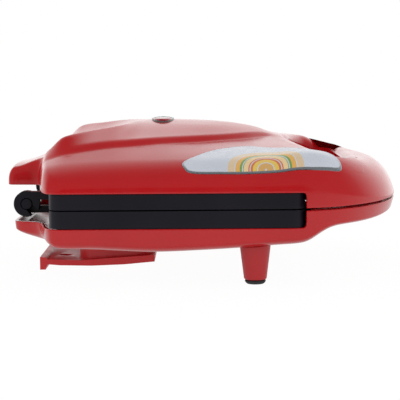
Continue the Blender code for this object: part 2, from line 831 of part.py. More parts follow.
def lower_housing(look):
    housing = base_solid()
    cavity = base_solid(wall, lower_split + overrun, coarse=True)
    cut(cavity, hole_core(wall, 0.0, lower_split + 2 * overrun))
    cut(cavity, box((window_front - gap, handle_root), wide_range(), (0.0, split_height + 3 * overrun)))
    cut(housing, cavity)
    cut(housing, box((-half_length - overrun, window_front), wide_range(), (lower_rim, split_height + overrun)))
    cut(housing, hole_core(0.0, 0.0, lower_split + overrun))
    add_ear_posts(housing, False)
    add_cover_posts(housing, False)
    cord_way = cylinder(gland_bore, (0.0, lower_rim), (core_rear + core_front) / 2)
    cut(housing, cord_way)
    for x, y in wrap_screw_spots():
        cut(housing, cylinder(pilot_radius, (0.0, lower_rim), x, y, small_sides))
    return part(housing, "lower_housing", look)


def frame_outline(inset):
    """The plan of the plate frame, drawn in by a distance."""
    reach = (frame_rear + inset, frame_front - inset)
    return rounded_rectangle(reach, frame_half_width - inset, max(frame_corner - inset, wall / 2))


def plate_frame(name, upper, look):
    """A black ring with a spigot inside its shell, ears for screws and half of the hinge."""
    stack = levels(upper)
    sign = stack["sign"]
    shell = upper_skirt if upper else lower_rim
    frame = flat_piece(frame_outline(0.0), span(stack["face"], shell - sign * gap))
    spigot = span(shell - sign * (gap + join), stack["ear_back"])
    add(frame, flat_piece(frame_outline(spigot_inset), spigot))
    beyond = stack["face"] - sign * overrun
    cut(frame, flat_piece(frame_outline(frame_seat), span(beyond, stack["back"] + sign * gap)))
    ledge = span(beyond, stack["ear_back"] + sign * overrun)
    cut(frame, flat_piece(frame_outline(frame_seat + frame_ledge), ledge))
    inner_y = frame_half_width - frame_seat - frame_ledge
    for x, y in ear_screw_spots():
        side = math.copysign(1.0, y)
        ear_y = span(side * (inner_y - ear_reach), side * (inner_y + join))
        ear_x = (x - ear_length / 2, x + ear_length / 2)
        add(frame, box(ear_x, ear_y, span(stack["ear"], stack["ear_back"])))
        cut(frame, cylinder(screw_hole, through(stack["ear"], stack["ear_back"]), x, y, small_sides))
    for _, side in both_sides():
        if upper:
            add_hook(frame, side)
        else:
            add_lug(frame, side)
    return part(frame, name, look)


def add_hook(frame, side):
    """The lid's half of the hinge: a hook that clasps the pin, open towards the lower front."""
    reach = span(side * hook_start, side * hook_end)
    add(frame, cross_cylinder(hook_radius, reach, hinge_x, hinge_z))
    add(frame, box((hinge_x, frame_rear + spigot_inset), reach, (hook_arm_low, hook_arm_high)))
    wide = (reach[0] - join, reach[1] + join)
    cut(frame, cross_cylinder(pin_radius + bore_clearance, wide, hinge_x, hinge_z))
    slot = box((0.0, hook_radius + join), wide, (-hook_slot / 2, hook_slot / 2))
    turn = Matrix.Rotation(math.radians(hook_slot_turn), 4, "Y")
    slot.data.transform(Matrix.Translation((hinge_x, 0.0, hinge_z)) @ turn)
    cut(frame, slot)


def add_lug(frame, side):
    """The base's half of the hinge: a lug beside the hook that holds the pin."""
    reach = span(side * lug_start, side * (hook_start - gap))
    add(frame, cross_cylinder(lug_radius, reach, hinge_x, hinge_z))
    arm_x = (hinge_x, frame_rear + spigot_inset)
    add(frame, box(arm_x, reach, (hinge_z - lug_radius, hinge_z - lug_radius + lug_height)))
    wide = (reach[0] - join, reach[1] + join)
    cut(frame, cross_cylinder(pin_radius + gap, wide, hinge_x, hinge_z))


def hinge_pin(name, side, look):
    """A pin with a head at its inner end. It sits in the lug and carries the hook."""
    shank = span(side * (lug_start - gap), side * hook_end)
    pin = cross_cylinder(pin_radius, shank, hinge_x, hinge_z)
    head = span(side * (lug_start - gap - pin_head), side * (lug_start - gap))
    add(pin, cross_cylinder(pin_head_radius, head, hinge_x, hinge_z))
    return part(pin, name, look)


def pocket_corners(side, grow):
    """The two triangles of one square pocket, parted by its diagonal rib, as lists of (x, y)."""
    rear = frame_rear + frame_seat + pocket_margin_end
    front = frame_front - frame_seat - pocket_margin_end
    inner = side * pocket_clear_middle
    outer = side * (frame_half_width - frame_seat - pocket_margin_side)
    cross = pocket_rib / math.sqrt(2)
    first = [(rear, inner), (front - cross, inner), (rear, outer - side * cross)]
    second = [(front, outer), (rear + cross, outer), (front, inner + side * cross)]
    triangles = []
    for corners in (first, second):
        middle = np.mean(corners, axis=0)
        if np.cross(np.subtract(corners[1], corners[0]), np.subtract(corners[2], corners[1])) < 0:
            corners = corners[::-1]
        triangles.append((offset_corners(corners, grow), middle))
    return triangles


def offset_corners(corners, distance):
    """A counter-clockwise polygon with sharp corners, its sides moved outward by a distance."""
    corners = np.array(corners, float)
    moved = []
    for i in range(len(corners)):
        before = corners[i] - corners[i - 1]
        after = corners[(i + 1) % len(corners)] - corners[i]
        before_out = np.array([before[1], -before[0]]) / np.linalg.norm(before)
        after_out = np.array([after[1], -after[0]]) / np.linalg.norm(after)
        middle = before_out + after_out
        moved.append(corners[i] + middle * distance / (1 + before_out @ after_out))
    return np.array(moved)


def pocket_form(corners, middle, mouth, floor):
    """A tapered triangular form from its mouth to its floor."""
    deep = middle + (corners - middle) * pocket_floor_share
    rings = [[Vector((x, y, mouth)) for x, y in corners], [Vector((x, y, floor)) for x, y in deep]]
    return loft(rings if mouth < floor else rings[::-1])


def cooking_plate(name, upper, look):
    """A coated plate with two square pockets, each parted by a diagonal rib, and bosses for its screws."""
    stack = levels(upper)
    sign = stack["sign"]
    plate = flat_piece(frame_outline(frame_seat + gap), span(stack["face"], stack["back"]))
    pockets = []
    for _, side in both_sides():
        for (corners, middle), (mouth, _) in zip(pocket_corners(side, pocket_skin), pocket_corners(side, 0.0)):
            base = stack["back"] - sign * join
            add(plate, pocket_form(corners, middle, base, stack["pocket_back"]))
            floor = stack["face"] + sign * pocket_depth
            pockets.append(pocket_form(mouth, middle, stack["face"], floor))
            pockets.append(pocket_form(mouth, middle, stack["face"], stack["face"] - sign * overrun))
    cut(plate, *pockets)
    for x in boss_places:
        boss = span(stack["back"] - sign * join, stack["reflector"] - sign * gap)
        add(plate, cylinder(boss_radius, boss, x, 0.0, small_sides))
        pilot = span(stack["reflector"] - sign * (screw_bite + boss_spare), stack["reflector"] + sign * join)
        cut(plate, cylinder(pilot_radius, pilot, x, 0.0, small_sides))
    return part(plate, name, look)


def element_path(stack):
    """Points of the element's loop, from one terminal round the plate to the other."""
    rear = frame_rear + frame_seat + element_inset
    front = frame_front - frame_seat - element_inset
    side = frame_half_width - frame_seat - element_inset
    level = stack["element"]
    end = level + stack["sign"] * terminal_rise
    bend = element_radius * terminal_bend_share
    half = [(rear, terminal_half_spacing, end), (rear, terminal_half_spacing, level + stack["sign"] * bend)]
    half.append((rear, terminal_half_spacing + bend, level))
    turn_y = side - element_corner
    turns = ((rear + element_corner, turn_y, 180.0), (front - element_corner, turn_y, 90.0))
    for x, y, angle in turns:
        for step in range(4):
            turn = math.radians(angle - 30.0 * step)
            half.append((x + element_corner * math.cos(turn), y + element_corner * math.sin(turn), level))
    return half + [(x, -y, z) for x, y, z in reversed(half)]


def heating_element(name, upper, look):
    path = element_path(levels(upper))
    curve = bpy.data.curves.new(name, "CURVE")
    curve.dimensions = "3D"
    curve.bevel_depth = element_radius
    curve.bevel_resolution = 2
    curve.use_fill_caps = True
    line = curve.splines.new("POLY")
    line.points.add(len(path) - 1)
    for point, place in zip(line.points, path):
        point.co = (*place, 1.0)
    drawn = bpy.data.objects.new(name, curve)
    return part(as_mesh(drawn, Matrix.Identity(4)), name, look)


def reflector(name, upper, look):
    """A bright sheet behind the plate, held between the frame's ears and the plate's bosses."""
    stack = levels(upper)
    outline = frame_outline(frame_seat + frame_ledge + gap)
    sheet = flat_piece(outline, span(stack["reflector"], stack["reflector_back"]))
    passing = through(stack["reflector"], stack["reflector_back"])
    spots = ear_screw_spots() + [(x, 0.0) for x in boss_places]
    for x, y in spots:
        cut(sheet, cylinder(screw_hole, passing, x, y, small_sides))
    rear = frame_rear + frame_seat + element_inset
    notch_y = terminal_half_spacing + element_radius + join
    cut(sheet, box((rear - overrun * 2, rear + element_radius + join), (-notch_y, notch_y), passing))
    return part(sheet, name, look)


def screw(name, place, tip, look, reach):
    """A screw whose head stands at place and whose shank runs to reach along tip, up or down."""
    x, y, z = place
    profile = [
        (0.0, 0.0), (screw_head, 0.0), (screw_head, -screw_head_height), (screw_shank, -screw_head_height),
        (screw_shank, -screw_head_height - reach), (0.0, -screw_head_height - reach),
    ]
    item = turned(profile)
    item.location = (x, y, z + (screw_head_height if tip < 0 else -screw_head_height))
    if tip > 0:
        item.rotation_euler = (math.pi, 0.0, 0.0)
    return part(item, name, look)


def plate_and_frame_screws(word, upper, look):
    stack = levels(upper)
    sign = stack["sign"]
    for number, (x, y) in enumerate(ear_screw_spots(), 1):
        reach = abs(stack["ear_back"] - stack["reflector"]) + gap + screw_bite
        screw(f"{word}_frame_screw_{number}", (x, y, stack["reflector"] - sign * gap), sign, look, reach)
    for number, x in enumerate(boss_places, 1):
        reach = reflector_thickness + 2 * gap + screw_bite
        screw(f"{word}_plate_screw_{number}", (x, 0.0, stack["reflector_back"] + sign * gap), -sign, look, reach)


def handle_cover(name, upper, look):
    """Closes the hollow half of the handle at the split."""
    sign = 1 if upper else -1
    face = upper_split if upper else lower_split
    inset = wall + cover_clearance
    border = lid_border(inset, coarse=True) if upper else base_border(inset, coarse=True)
    plan = border[:, :2]
    whole = np.concatenate([plan, (plan * (1, -1))[-2:0:-1]])[::-1]
    cover = flat_piece(whole, span(face, face + sign * cover_thickness))
    hole_grow = (liner_thickness + gap if upper else 0.0) + wall + gap
    cut(cover, hole_core(hole_grow, split_height - 2 * overrun, split_height + 2 * overrun))
    cut(cover, box((-half_length, handle_root + gap), wide_range(), (face - overrun, face + overrun)))
    for _, side in both_sides():
        hole = (face - overrun, face + overrun)
        cut(cover, cylinder(screw_hole, hole, cover_screw_place, side * cover_screw_reach, small_sides))
        sink = span(face - sign * overrun, face + sign * (screw_head_height / 2 + gap))
        sink_radius = screw_head + gap
        cut(cover, cylinder(sink_radius, sink, cover_screw_place, side * cover_screw_reach, small_sides))
    return part(cover, name, look)


def cover_screws(word, upper, look):
    sign = 1 if upper else -1
    face = upper_split if upper else lower_split
    under_head = -screw_head_height / 2
    tip = under_head - (screw_bite + cover_thickness) / 2
    profile = [
        (0.0, 0.0), (screw_head, 0.0), (screw_head, under_head), (screw_shank, under_head),
        (screw_shank, tip), (0.0, tip),
    ]
    for name, side in both_sides():
        item = turned(profile)
        item.location = (cover_screw_place, side * cover_screw_reach, face)
        if sign > 0:
            item.rotation_euler = (math.pi, 0.0, 0.0)
        part(item, f"{word}_handle_screw_{name}", look)


def upper_grip_liner(look):
    """A strip let into the front wall of the hand hole."""
    low = upper_split
    liner = hole_core(liner_thickness, low, crown_height)
    cut(liner, hole_core(0.0, low - overrun, crown_height + overrun))
    common(liner, box((liner_rear, half_length), wide_range(), (low - overrun, liner_top)))
    return part(liner, "upper_grip_liner", look)


def indicator_outline(grow):
    half_x = indicator_half_x + grow
    half_y = indicator_half_y + grow
    points = []
    for step in range(round_sides):
        angle = 2 * math.pi * step / round_sides
        points.append((indicator_x + half_x * math.cos(angle), half_y * math.sin(angle)))
    return points


def indicator_bezel(look):
    bezel = flat_piece(indicator_outline(0.0), (bezel_under, crown_height + 2 * overrun))
    common(bezel, lid_solid(-bezel_proud))
    cut(bezel, flat_piece(indicator_outline(-bezel_wall), (lens_under, crown_height + 3 * overrun)))
    cut(bezel, flat_piece(indicator_outline(-2 * bezel_wall), (bezel_under - overrun, crown_height)))
    return part(bezel, "indicator_bezel", look)


def indicator_lens(name, side, look):
    lens = flat_piece(indicator_outline(-bezel_wall - gap), (lens_under + gap, crown_height + 2 * overrun))
    common(lens, lid_solid(-lens_proud))
    half = span(side * gap / 2, side * half_width)
    common(lens, box((indicator_x - half_width, indicator_x + half_width), half, (0.0, 2 * crown_height)))
    return part(lens, name, look)


def lamp_holder(look):
    top = bezel_under - gap
    holder = flat_piece(indicator_outline(-bezel_wall), (top - lamp_holder_depth, top))
    for _, side in both_sides():
        well = (top - lamp_height - 2 * gap, top + overrun)
        cut(holder, cylinder(lamp_well, well, indicator_x, side * lamp_reach, small_sides))
    return part(holder, "lamp_holder", look)


def lamp(name, side, look):
    low = bezel_under - 2 * gap - lamp_height
    tube = cylinder(lamp_radius, (low, low + lamp_height), indicator_x, side * lamp_reach, small_sides)
    return part(tube, name, look)


def side_label(look):
    """A thin sticker that follows the near shoulder."""
    plan = np.array(label_shares) * (half_length, -half_width)
    label = flat_piece(smooth_curve(plan, 2, closed=True), (split_height, crown_height))
    common(label, lid_solid(-label_clearance - label_thickness))
    cut(label, lid_solid(-label_clearance, upper_split - overrun))
    return part(label, "side_label", look)


def front_foot(name, side, look):
    profile = [
        (0.0, lower_rim), (foot_top_radius, lower_rim), (foot_top_radius, height_over_base(foot_x, foot_y)),
        (foot_bottom_radius, pad_height + gap), (0.0, pad_height + gap),
    ]
    foot = turned(profile, round_sides)
    foot.location = (foot_x, side * foot_y, 0.0)
    cut(foot, base_solid(-gap))
    return part(foot, name, look)


def pad(name, place, radii, high, look):
    """A rubber pad that stands on the floor."""
    x, y = place
    top, bottom = radii
    profile = [(0.0, high), (top, high), (top, (top - bottom)), (bottom, 0.0), (0.0, 0.0)]
    item = turned(profile, round_sides)
    item.location = (x, y, 0.0)
    return part(item, name, look)


def wrap_profile():
    """Side profile of the cord-wrap base as (x, z), a shallow bow with a lip at its rear end."""
    length = wrap_front - wrap_rear
    under = wrap_under
    lip = wrap_lip_height
    tail_lip = wrap_rear + wrap_lip
    points = [
        (wrap_rear, wrap_lip_under), (tail_lip, wrap_lip_under), (tail_lip + wrap_lip / 3, under + wrap_lip / 3),
    ]
    points += [(wrap_rear + along * length, under * height) for along, height in wrap_bow_shares]
    points += [(wrap_rear + along * length, lip * height) for along, height in wrap_top_shares]
    points += [(tail_lip, lip), (wrap_rear, lip)]
    return points


def height_under_wrap(x):
    """Height of the bowed underside of the cord-wrap base at a place along X."""
    along, height = np.array(wrap_bow_shares).T
    return float(np.interp((x - wrap_rear) / (wrap_front - wrap_rear), along, height)) * wrap_under


def cord_wrap_base(look):
    """The rear foot: a bowed plate that keeps the wound cord, with a hollow core under the base."""
    profile = flat_piece(wrap_profile(), (-wrap_half_width, wrap_half_width))
    profile.data.transform(Matrix.Rotation(math.radians(90.0), 4, "X"))
    base = profile
    core = rounded_rectangle((core_rear, core_front), core_half_width, core_corner)
    add(base, flat_piece(core, (wrap_under * core_foot_share, lower_rim)))
    inside = offset_outline(core, -core_wall)
    cut(base, flat_piece(inside, (core_floor, lower_rim + overrun)))
    cut(base, base_solid(-gap))
    for _, side in both_sides():
        dish = (wrap_lip_height * wrap_dish_top_share - wrap_dish_depth, wrap_lip_height)
        cut(base, cylinder(wrap_dish_radius, dish, wrap_dish_x, side * wrap_dish_y, small_sides))
    gland_hole = cross_cylinder(gland_radius + gap, (-overrun, overrun), 0.0, 0.0)
    turn = Matrix.Rotation(math.radians(90.0), 4, "Z")
    gland_hole.data.transform(Matrix.Translation((core_rear, 0.0, gland_height)) @ turn)
    cut(base, gland_hole)
    for x, y in wrap_screw_spots():
        cut(base, cylinder(screw_hole, (0.0, lower_rim), x, y, small_sides))
        cut(base, cylinder(screw_head + gap, (0.0, core_floor - core_wall / 2), x, y, small_sides))
    return part(base, "cord_wrap_base", look)


def wrap_screw_spots():
    return [(wrap_screw_places[0], wrap_screw_y), (wrap_screw_places[1], -wrap_screw_y)]


def cord_gland(look):
    """The sleeve that the cord enters by, in the rear wall of the core."""
    profile = [
        (gland_bore, gland_flange_thickness), (gland_flange, gland_flange_thickness), (gland_flange, 0.0),
        (gland_radius, 0.0), (gland_radius, gland_flange_thickness - gland_length),
        (gland_bore, gland_flange_thickness - gland_length), (gland_bore, gland_flange_thickness),
    ]
    item = turned(profile, round_sides)
    item.rotation_euler = (0.0, math.radians(-90.0), 0.0)
    item.location = (core_rear - gap, 0.0, gland_height)
    return part(item, "cord_gland", look)


def thermostat(look):
    low = levels(True)["reflector_back"] + gap
    body = cylinder(thermostat_radius, (low, low + thermostat_height), thermostat_x)
    cap = (low + thermostat_height - join, low + thermostat_height + thermostat_cap)
    add(body, cylinder(thermostat_radius / 2, cap, thermostat_x))
    return part(body, "thermostat", look)


def thermal_fuse(look):
    low = levels(True)["reflector_back"] + gap
    reach = (fuse_y - fuse_length / 2, fuse_y + fuse_length / 2)
    body = cross_cylinder(fuse_radius, reach, fuse_x, low + fuse_radius, small_sides)
    return part(body, "thermal_fuse", look)


def terminal_block(look):
    length, width, height = terminal_block_size
    x_range = (terminal_block_x - length / 2, terminal_block_x + length / 2)
    low = max(height_over_base(x, 0.0) for x in x_range) + gap
    block = box(x_range, (-width / 2, width / 2), (low, low + height))
    for number in range(terminal_ways):
        x = x_range[0] + length * (number + 1 / 2) / terminal_ways
        way = (low + height / 2, low + height + overrun)
        cut(block, cylinder(terminal_way_radius, way, x, 0.0, small_sides))
    return part(block, "terminal_block", look)


def build():
    start()
    red = ((0.56, 0.006, 0.018), 0.12)
    core_red = ((0.60, 0.01, 0.02), 0.3)
    black = ((0.012, 0.012, 0.014), 0.4)
    coated = ((0.02, 0.02, 0.022), 0.5, 0.3)
    steel = ((0.6, 0.6, 0.6), 0.3, 1.0)
    bright = ((0.75, 0.75, 0.76), 0.35, 1.0)
    rubber = ((0.015, 0.015, 0.015), 0.8)
    cream = ((0.75, 0.72, 0.66), 0.6)

    upper_housing(red)
    lower_housing(red)
    plate_frame("upper_plate_frame", True, black)
    plate_frame("lower_plate_frame", False, black)
    for word, upper in (("upper", True), ("lower", False)):
        cooking_plate(f"{word}_cooking_plate", upper, coated)
        heating_element(f"{word}_heating_element", upper, steel)
        reflector(f"{word}_heat_reflector", upper, bright)
        plate_and_frame_screws(word, upper, steel)
        handle_cover(f"{word}_handle_cover", upper, red)
        cover_screws(word, upper, steel)
    upper_grip_liner(red)
    for name, side in both_sides():
        hinge_pin(f"hinge_pin_{name}", side, black)
        front_foot(f"front_foot_{name}", side, core_red)
        pad(f"front_pad_{name}", (foot_x, side * foot_y), (pad_radius, pad_bottom_radius), pad_height, rubber)
    for number, x in enumerate(rear_pad_places, 1):
        high = height_under_wrap(x) - gap
        pad(f"rear_pad_{number}", (x, 0.0), (rear_pad_radius, rear_pad_bottom_radius), high, rubber)
    cord_wrap_base(core_red)
    cord_gland(black)
    for number, (x, y) in enumerate(wrap_screw_spots(), 1):
        head_top = core_floor - core_wall / 2 - gap
        reach = height_over_base(x, y) - wall - head_top + screw_bite / 2
        screw(f"cord_wrap_screw_{number}", (x, y, head_top), 1, steel, reach)
    indicator_bezel(steel)
    indicator_lens("red_lens", -1, ((0.6, 0.02, 0.02), 0.15))
    indicator_lens("green_lens", 1, ((0.02, 0.3, 0.08), 0.15))
    lamp_holder(cream)
    lamp("red_lamp", -1, ((0.8, 0.3, 0.2), 0.2))
    lamp("green_lamp", 1, ((0.3, 0.8, 0.3), 0.2))
    side_label(((0.6, 0.6, 0.65), 0.3))
    thermostat(steel)
    thermal_fuse(cream)
    terminal_block(cream)
    bpy.context.view_layer.update()


build()
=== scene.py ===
"""The looks of a closed two-slice sandwich maker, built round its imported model.

Metres, +Z up. The floor is z = 0, +X points from the hinge to the handle, and the photograph looks along +Y.
"""

import math

import bmesh
import bpy
import numpy as np
from mathutils import Matrix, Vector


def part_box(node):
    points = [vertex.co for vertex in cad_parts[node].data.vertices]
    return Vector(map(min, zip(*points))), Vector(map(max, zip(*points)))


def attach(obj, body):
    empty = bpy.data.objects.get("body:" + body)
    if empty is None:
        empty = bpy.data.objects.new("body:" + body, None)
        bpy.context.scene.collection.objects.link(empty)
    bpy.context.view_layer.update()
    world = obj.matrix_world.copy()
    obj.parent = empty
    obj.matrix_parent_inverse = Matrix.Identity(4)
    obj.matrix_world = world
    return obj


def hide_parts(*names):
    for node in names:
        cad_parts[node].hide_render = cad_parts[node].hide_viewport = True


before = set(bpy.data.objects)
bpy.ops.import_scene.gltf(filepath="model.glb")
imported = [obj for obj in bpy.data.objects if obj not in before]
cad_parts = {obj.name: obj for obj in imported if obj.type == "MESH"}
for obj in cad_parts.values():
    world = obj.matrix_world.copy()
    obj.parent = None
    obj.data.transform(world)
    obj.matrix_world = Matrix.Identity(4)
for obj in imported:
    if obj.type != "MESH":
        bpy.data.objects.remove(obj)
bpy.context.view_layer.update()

# Overall sizes, the same as those of the solids
half_length = 0.1251
half_width = 0.115
crown_height = 0.0954
split_height = 0.0471
split_gap = 0.0014
wall = 0.0026
upper_split = split_height + split_gap / 2
lower_split = split_height - split_gap / 2
lid_height = crown_height - split_height

# Windows and the plan of the shells
upper_skirt = 0.0569
lower_rim = 0.0362
nose_length = 0.0738
nose_centre = half_length - nose_length
window_front = nose_centre + 0.0094
tail_under = 0.055
tail_root = -half_length + 0.0236
lid_rear_shares = (
    (-1.0, 0.0), (-1.0, 0.12), (-0.998, 0.205), (-0.984, 0.233), (-0.945, 0.240), (-0.887, 0.246),
    (-0.847, 0.258), (-0.826, 0.295), (-0.8145, 0.37), (-0.803, 0.52), (-0.788, 0.69), (-0.769, 0.85),
    (-0.749, 0.93), (-0.722, 0.981), (-0.679, 1.0),
)
base_rear_shares = (
    (-0.936, 0.0), (-0.938, 0.3), (-0.942, 0.49), (-0.934, 0.565), (-0.905, 0.603), (-0.84, 0.638),
    (-0.806, 0.675), (-0.790, 0.73), (-0.769, 0.85), (-0.749, 0.93), (-0.722, 0.981), (-0.679, 1.0),
)

# Rounding of the borders
rear_rounding = 0.005
side_rounding = 0.021
nose_rounding = 0.018
nose_lean = 0.0055
side_foot = 0.058
base_rear_rounding = 0.008
base_side_rounding = 0.014
base_nose_rounding = 0.012
base_draft = 0.0018
rear_pole = -0.060
edge_radius = 0.0005
window_corner = 0.0022

# Roll of the lid into the hand hole: at shares of the hole's ring, how wide and how deep it is
hole_roll_shares = (
    (0.0, 0.0024, 0.0030), (0.2, 0.0026, 0.0030), (0.34, 0.0045, 0.0045), (0.46, 0.0085, 0.0080),
    (0.56, 0.0100, 0.0085), (0.66, 0.0085, 0.0080), (0.80, 0.0060, 0.0060), (1.0, 0.0060, 0.0060),
)
base_hole_roll = 0.0025

# Lid surface: at each place along X, the height on the centre line, then the reach and the height of the
# crest of the scoop or crown, of the upper edge of the side band and of its lower edge, then the height of
# the shoulder at shoulder_share and at the side. Reaches are shares of half_width, heights of the lid's.
shoulder_share = 0.826
lid_surface_shares = (
    (-1.000, 0.410, 0.100, 0.405, 0.200, 0.385, 0.300, 0.370, 0.360, 0.350),
    (-0.930, 0.447, 0.100, 0.443, 0.200, 0.420, 0.300, 0.410, 0.400, 0.390),
    (-0.870, 0.484, 0.180, 0.480, 0.360, 0.470, 0.480, 0.470, 0.450, 0.400),
    (-0.823, 0.515, 0.478, 0.535, 0.660, 0.520, 0.713, 0.520, 0.485, 0.400),
    (-0.748, 0.590, 0.600, 0.690, 0.672, 0.620, 0.713, 0.572, 0.515, 0.415),
    (-0.673, 0.660, 0.613, 0.860, 0.678, 0.700, 0.713, 0.628, 0.550, 0.430),
    (-0.540, 0.781, 0.443, 0.918, 0.640, 0.770, 0.680, 0.680, 0.572, 0.440),
    (-0.448, 0.874, 0.391, 0.950, 0.615, 0.792, 0.656, 0.706, 0.580, 0.445),
    (-0.373, 0.950, 0.261, 0.973, 0.590, 0.803, 0.632, 0.716, 0.585, 0.450),
    (-0.317, 0.992, 0.122, 0.985, 0.570, 0.812, 0.613, 0.723, 0.588, 0.453),
    (-0.205, 1.000, 0.174, 0.973, 0.530, 0.824, 0.574, 0.743, 0.590, 0.455),
    (-0.013, 0.986, 0.174, 0.957, 0.450, 0.834, 0.491, 0.752, 0.595, 0.455),
    (0.131, 0.959, 0.139, 0.930, 0.355, 0.839, 0.396, 0.764, 0.600, 0.455),
    (0.227, 0.921, 0.096, 0.901, 0.262, 0.845, 0.304, 0.768, 0.605, 0.455),
    (0.307, 0.872, 0.052, 0.862, 0.145, 0.836, 0.191, 0.772, 0.610, 0.460),
    (0.355, 0.818, 0.035, 0.816, 0.090, 0.805, 0.139, 0.783, 0.615, 0.465),
    (0.403, 0.797, 0.174, 0.785, 0.261, 0.764, 0.348, 0.750, 0.650, 0.475),
    (0.483, 0.727, 0.174, 0.724, 0.391, 0.718, 0.600, 0.712, 0.668, 0.500),
    (0.560, 0.665, 0.174, 0.664, 0.391, 0.668, 0.600, 0.678, 0.658, 0.520),
    (0.675, 0.593, 0.174, 0.593, 0.391, 0.600, 0.600, 0.612, 0.605, 0.540),
    (0.787, 0.513, 0.174, 0.513, 0.391, 0.520, 0.600, 0.545, 0.550, 0.530),
    (0.870, 0.511, 0.174, 0.511, 0.391, 0.513, 0.600, 0.518, 0.520, 0.520),
    (1.000, 0.511, 0.174, 0.511, 0.391, 0.511, 0.600, 0.511, 0.511, 0.511),
)
base_surface_shares = (
    (-0.942, 0.829, 0.870), (-0.829, 0.724, 0.840), (-0.751, 0.675, 0.825), (-0.594, 0.652, 0.800),
    (-0.437, 0.619, 0.762), (-0.220, 0.586, 0.732), (0.006, 0.613, 0.754), (0.157, 0.641, 0.779),
    (0.344, 0.688, 0.818), (0.457, 0.713, 0.837), (0.495, 0.732, 0.854), (0.532, 0.812, 0.917),
    (0.572, 0.898, 0.992), (0.611, 0.961, 1.044), (0.652, 0.983, 1.061), (0.783, 0.989, 1.075),
    (0.880, 1.000, 1.085), (1.0, 1.050, 1.119),
)

# Hand hole
hole_upper_shares = (
    (0.411, 0.0), (0.419, 0.191), (0.459, 0.365), (0.507, 0.557), (0.579, 0.696), (0.659, 0.730),
    (0.707, 0.678), (0.719, 0.522), (0.723, 0.0),
)
hole_lower_shares = (
    (0.511, 0.0), (0.511, 0.191), (0.511, 0.365), (0.517, 0.539), (0.579, 0.678), (0.659, 0.717),
    (0.699, 0.670), (0.708, 0.522), (0.712, 0.0),
)
hole_top = crown_height - 0.0079

# Density of the shell meshes
half_columns = 330
lid_rows = 150
base_rows = 70
roll_rows = 16
column_step = 0.00025


# Curves and surfaces


def smooth_step(value):
    value = np.clip(value, 0.0, 1.0)
    return value * value * (3 - 2 * value)


def smooth_curve(points, steps):
    """Points along a smooth open curve through the given ones, with steps points for each stretch."""
    points = np.array(points, float)
    found = []
    for i in range(len(points) - 1):
        b, c = points[i], points[i + 1]
        a = points[i - 1] if i > 0 else 2 * b - c
        d = points[i + 2] if i + 2 < len(points) else 2 * c - b
        for step in range(steps):
            t = step / steps
            found.append(
                b + (c - a) * t / 2 + (2 * a - 5 * b + 4 * c - d) * t**2 / 2
                + (3 * b - a - 3 * c + d) * t**3 / 2
            )
    return np.array(found + [points[-1]])


def curve_slopes(places, values):
    """Slopes at the knots of a smooth curve that never overshoots them, knots along the last axis."""
    width = np.diff(places)
    rise = np.diff(values) / width
    slopes = np.zeros_like(values)
    before, after = rise[..., :-1], rise[..., 1:]
    first = 2 * width[..., 1:] + width[..., :-1]
    second = width[..., 1:] + 2 * width[..., :-1]
    same = before * after > 0
    safe_before = np.where(same, before, 1.0)
    safe_after = np.where(same, after, 1.0)
    slopes[..., 1:-1] = np.where(same, (first + second) / (first / safe_before + second / safe_after), 0.0)
    slopes[..., 0] = rise[..., 0]
    slopes[..., -1] = rise[..., -1]
    return slopes


def follow(where, places, values, level_start=False):
    """Heights along a smooth curve through knots, which runs on straight past both ends."""
    slopes = curve_slopes(places, values)
    if level_start:
        slopes[..., 0] = 0.0
    index = np.clip((places <= where[..., None]).sum(axis=-1) - 1, 0, places.shape[-1] - 2)[..., None]
    start, end, low, high, out, into = (
        np.take_along_axis(rows, index + step, axis=-1)[..., 0]
        for rows, step in ((places, 0), (places, 1), (values, 0), (values, 1), (slopes, 0), (slopes, 1))
    )
    span = end - start
    t = np.clip((where - start) / span, 0.0, 1.0)
    inside = (
        low * (2 * t**3 - 3 * t**2 + 1) + high * (3 * t**2 - 2 * t**3)
        + span * (out * (t**3 - 2 * t**2 + t) + into * (t**3 - t**2))
    )
    return inside + np.minimum(where - start, 0.0) * out + np.maximum(where - end, 0.0) * into


def blurred(values, spread, step):
    """Values of an even row smoothed over a distance, its ends held."""
    reach = max(1, int(3 * spread / step))
    kernel = np.exp(-0.5 * (np.arange(-reach, reach + 1) * step / spread) ** 2)
    padded = np.concatenate([
        2 * values[0] - values[reach:0:-1], values, 2 * values[-1] - values[-2:-reach - 2:-1],
    ])
    return np.convolve(padded, kernel / kernel.sum(), mode="valid")


fine_x = np.arange(-half_length, half_length + column_step, column_step)


def columns_of(table, number, rear_spread, front_spread):
    """One column of a table of shares along fine_x, smoothed more towards the front."""
    rows = np.array(table)
    values = follow(fine_x, np.broadcast_to(rows[:, 0] * half_length, (len(fine_x), len(rows))),
                    np.broadcast_to(rows[:, number], (len(fine_x), len(rows))))
    front = smooth_step((fine_x - rear_pole) / 0.02)
    rear_part = blurred(values, rear_spread, column_step) * (1 - front)
    return rear_part + blurred(values, front_spread, column_step) * front


lid_columns = [columns_of(lid_surface_shares, number, 0.0012, 0.003) for number in range(1, 10)]
base_columns = [columns_of(base_surface_shares, number, 0.003, 0.003) for number in (1, 2)]


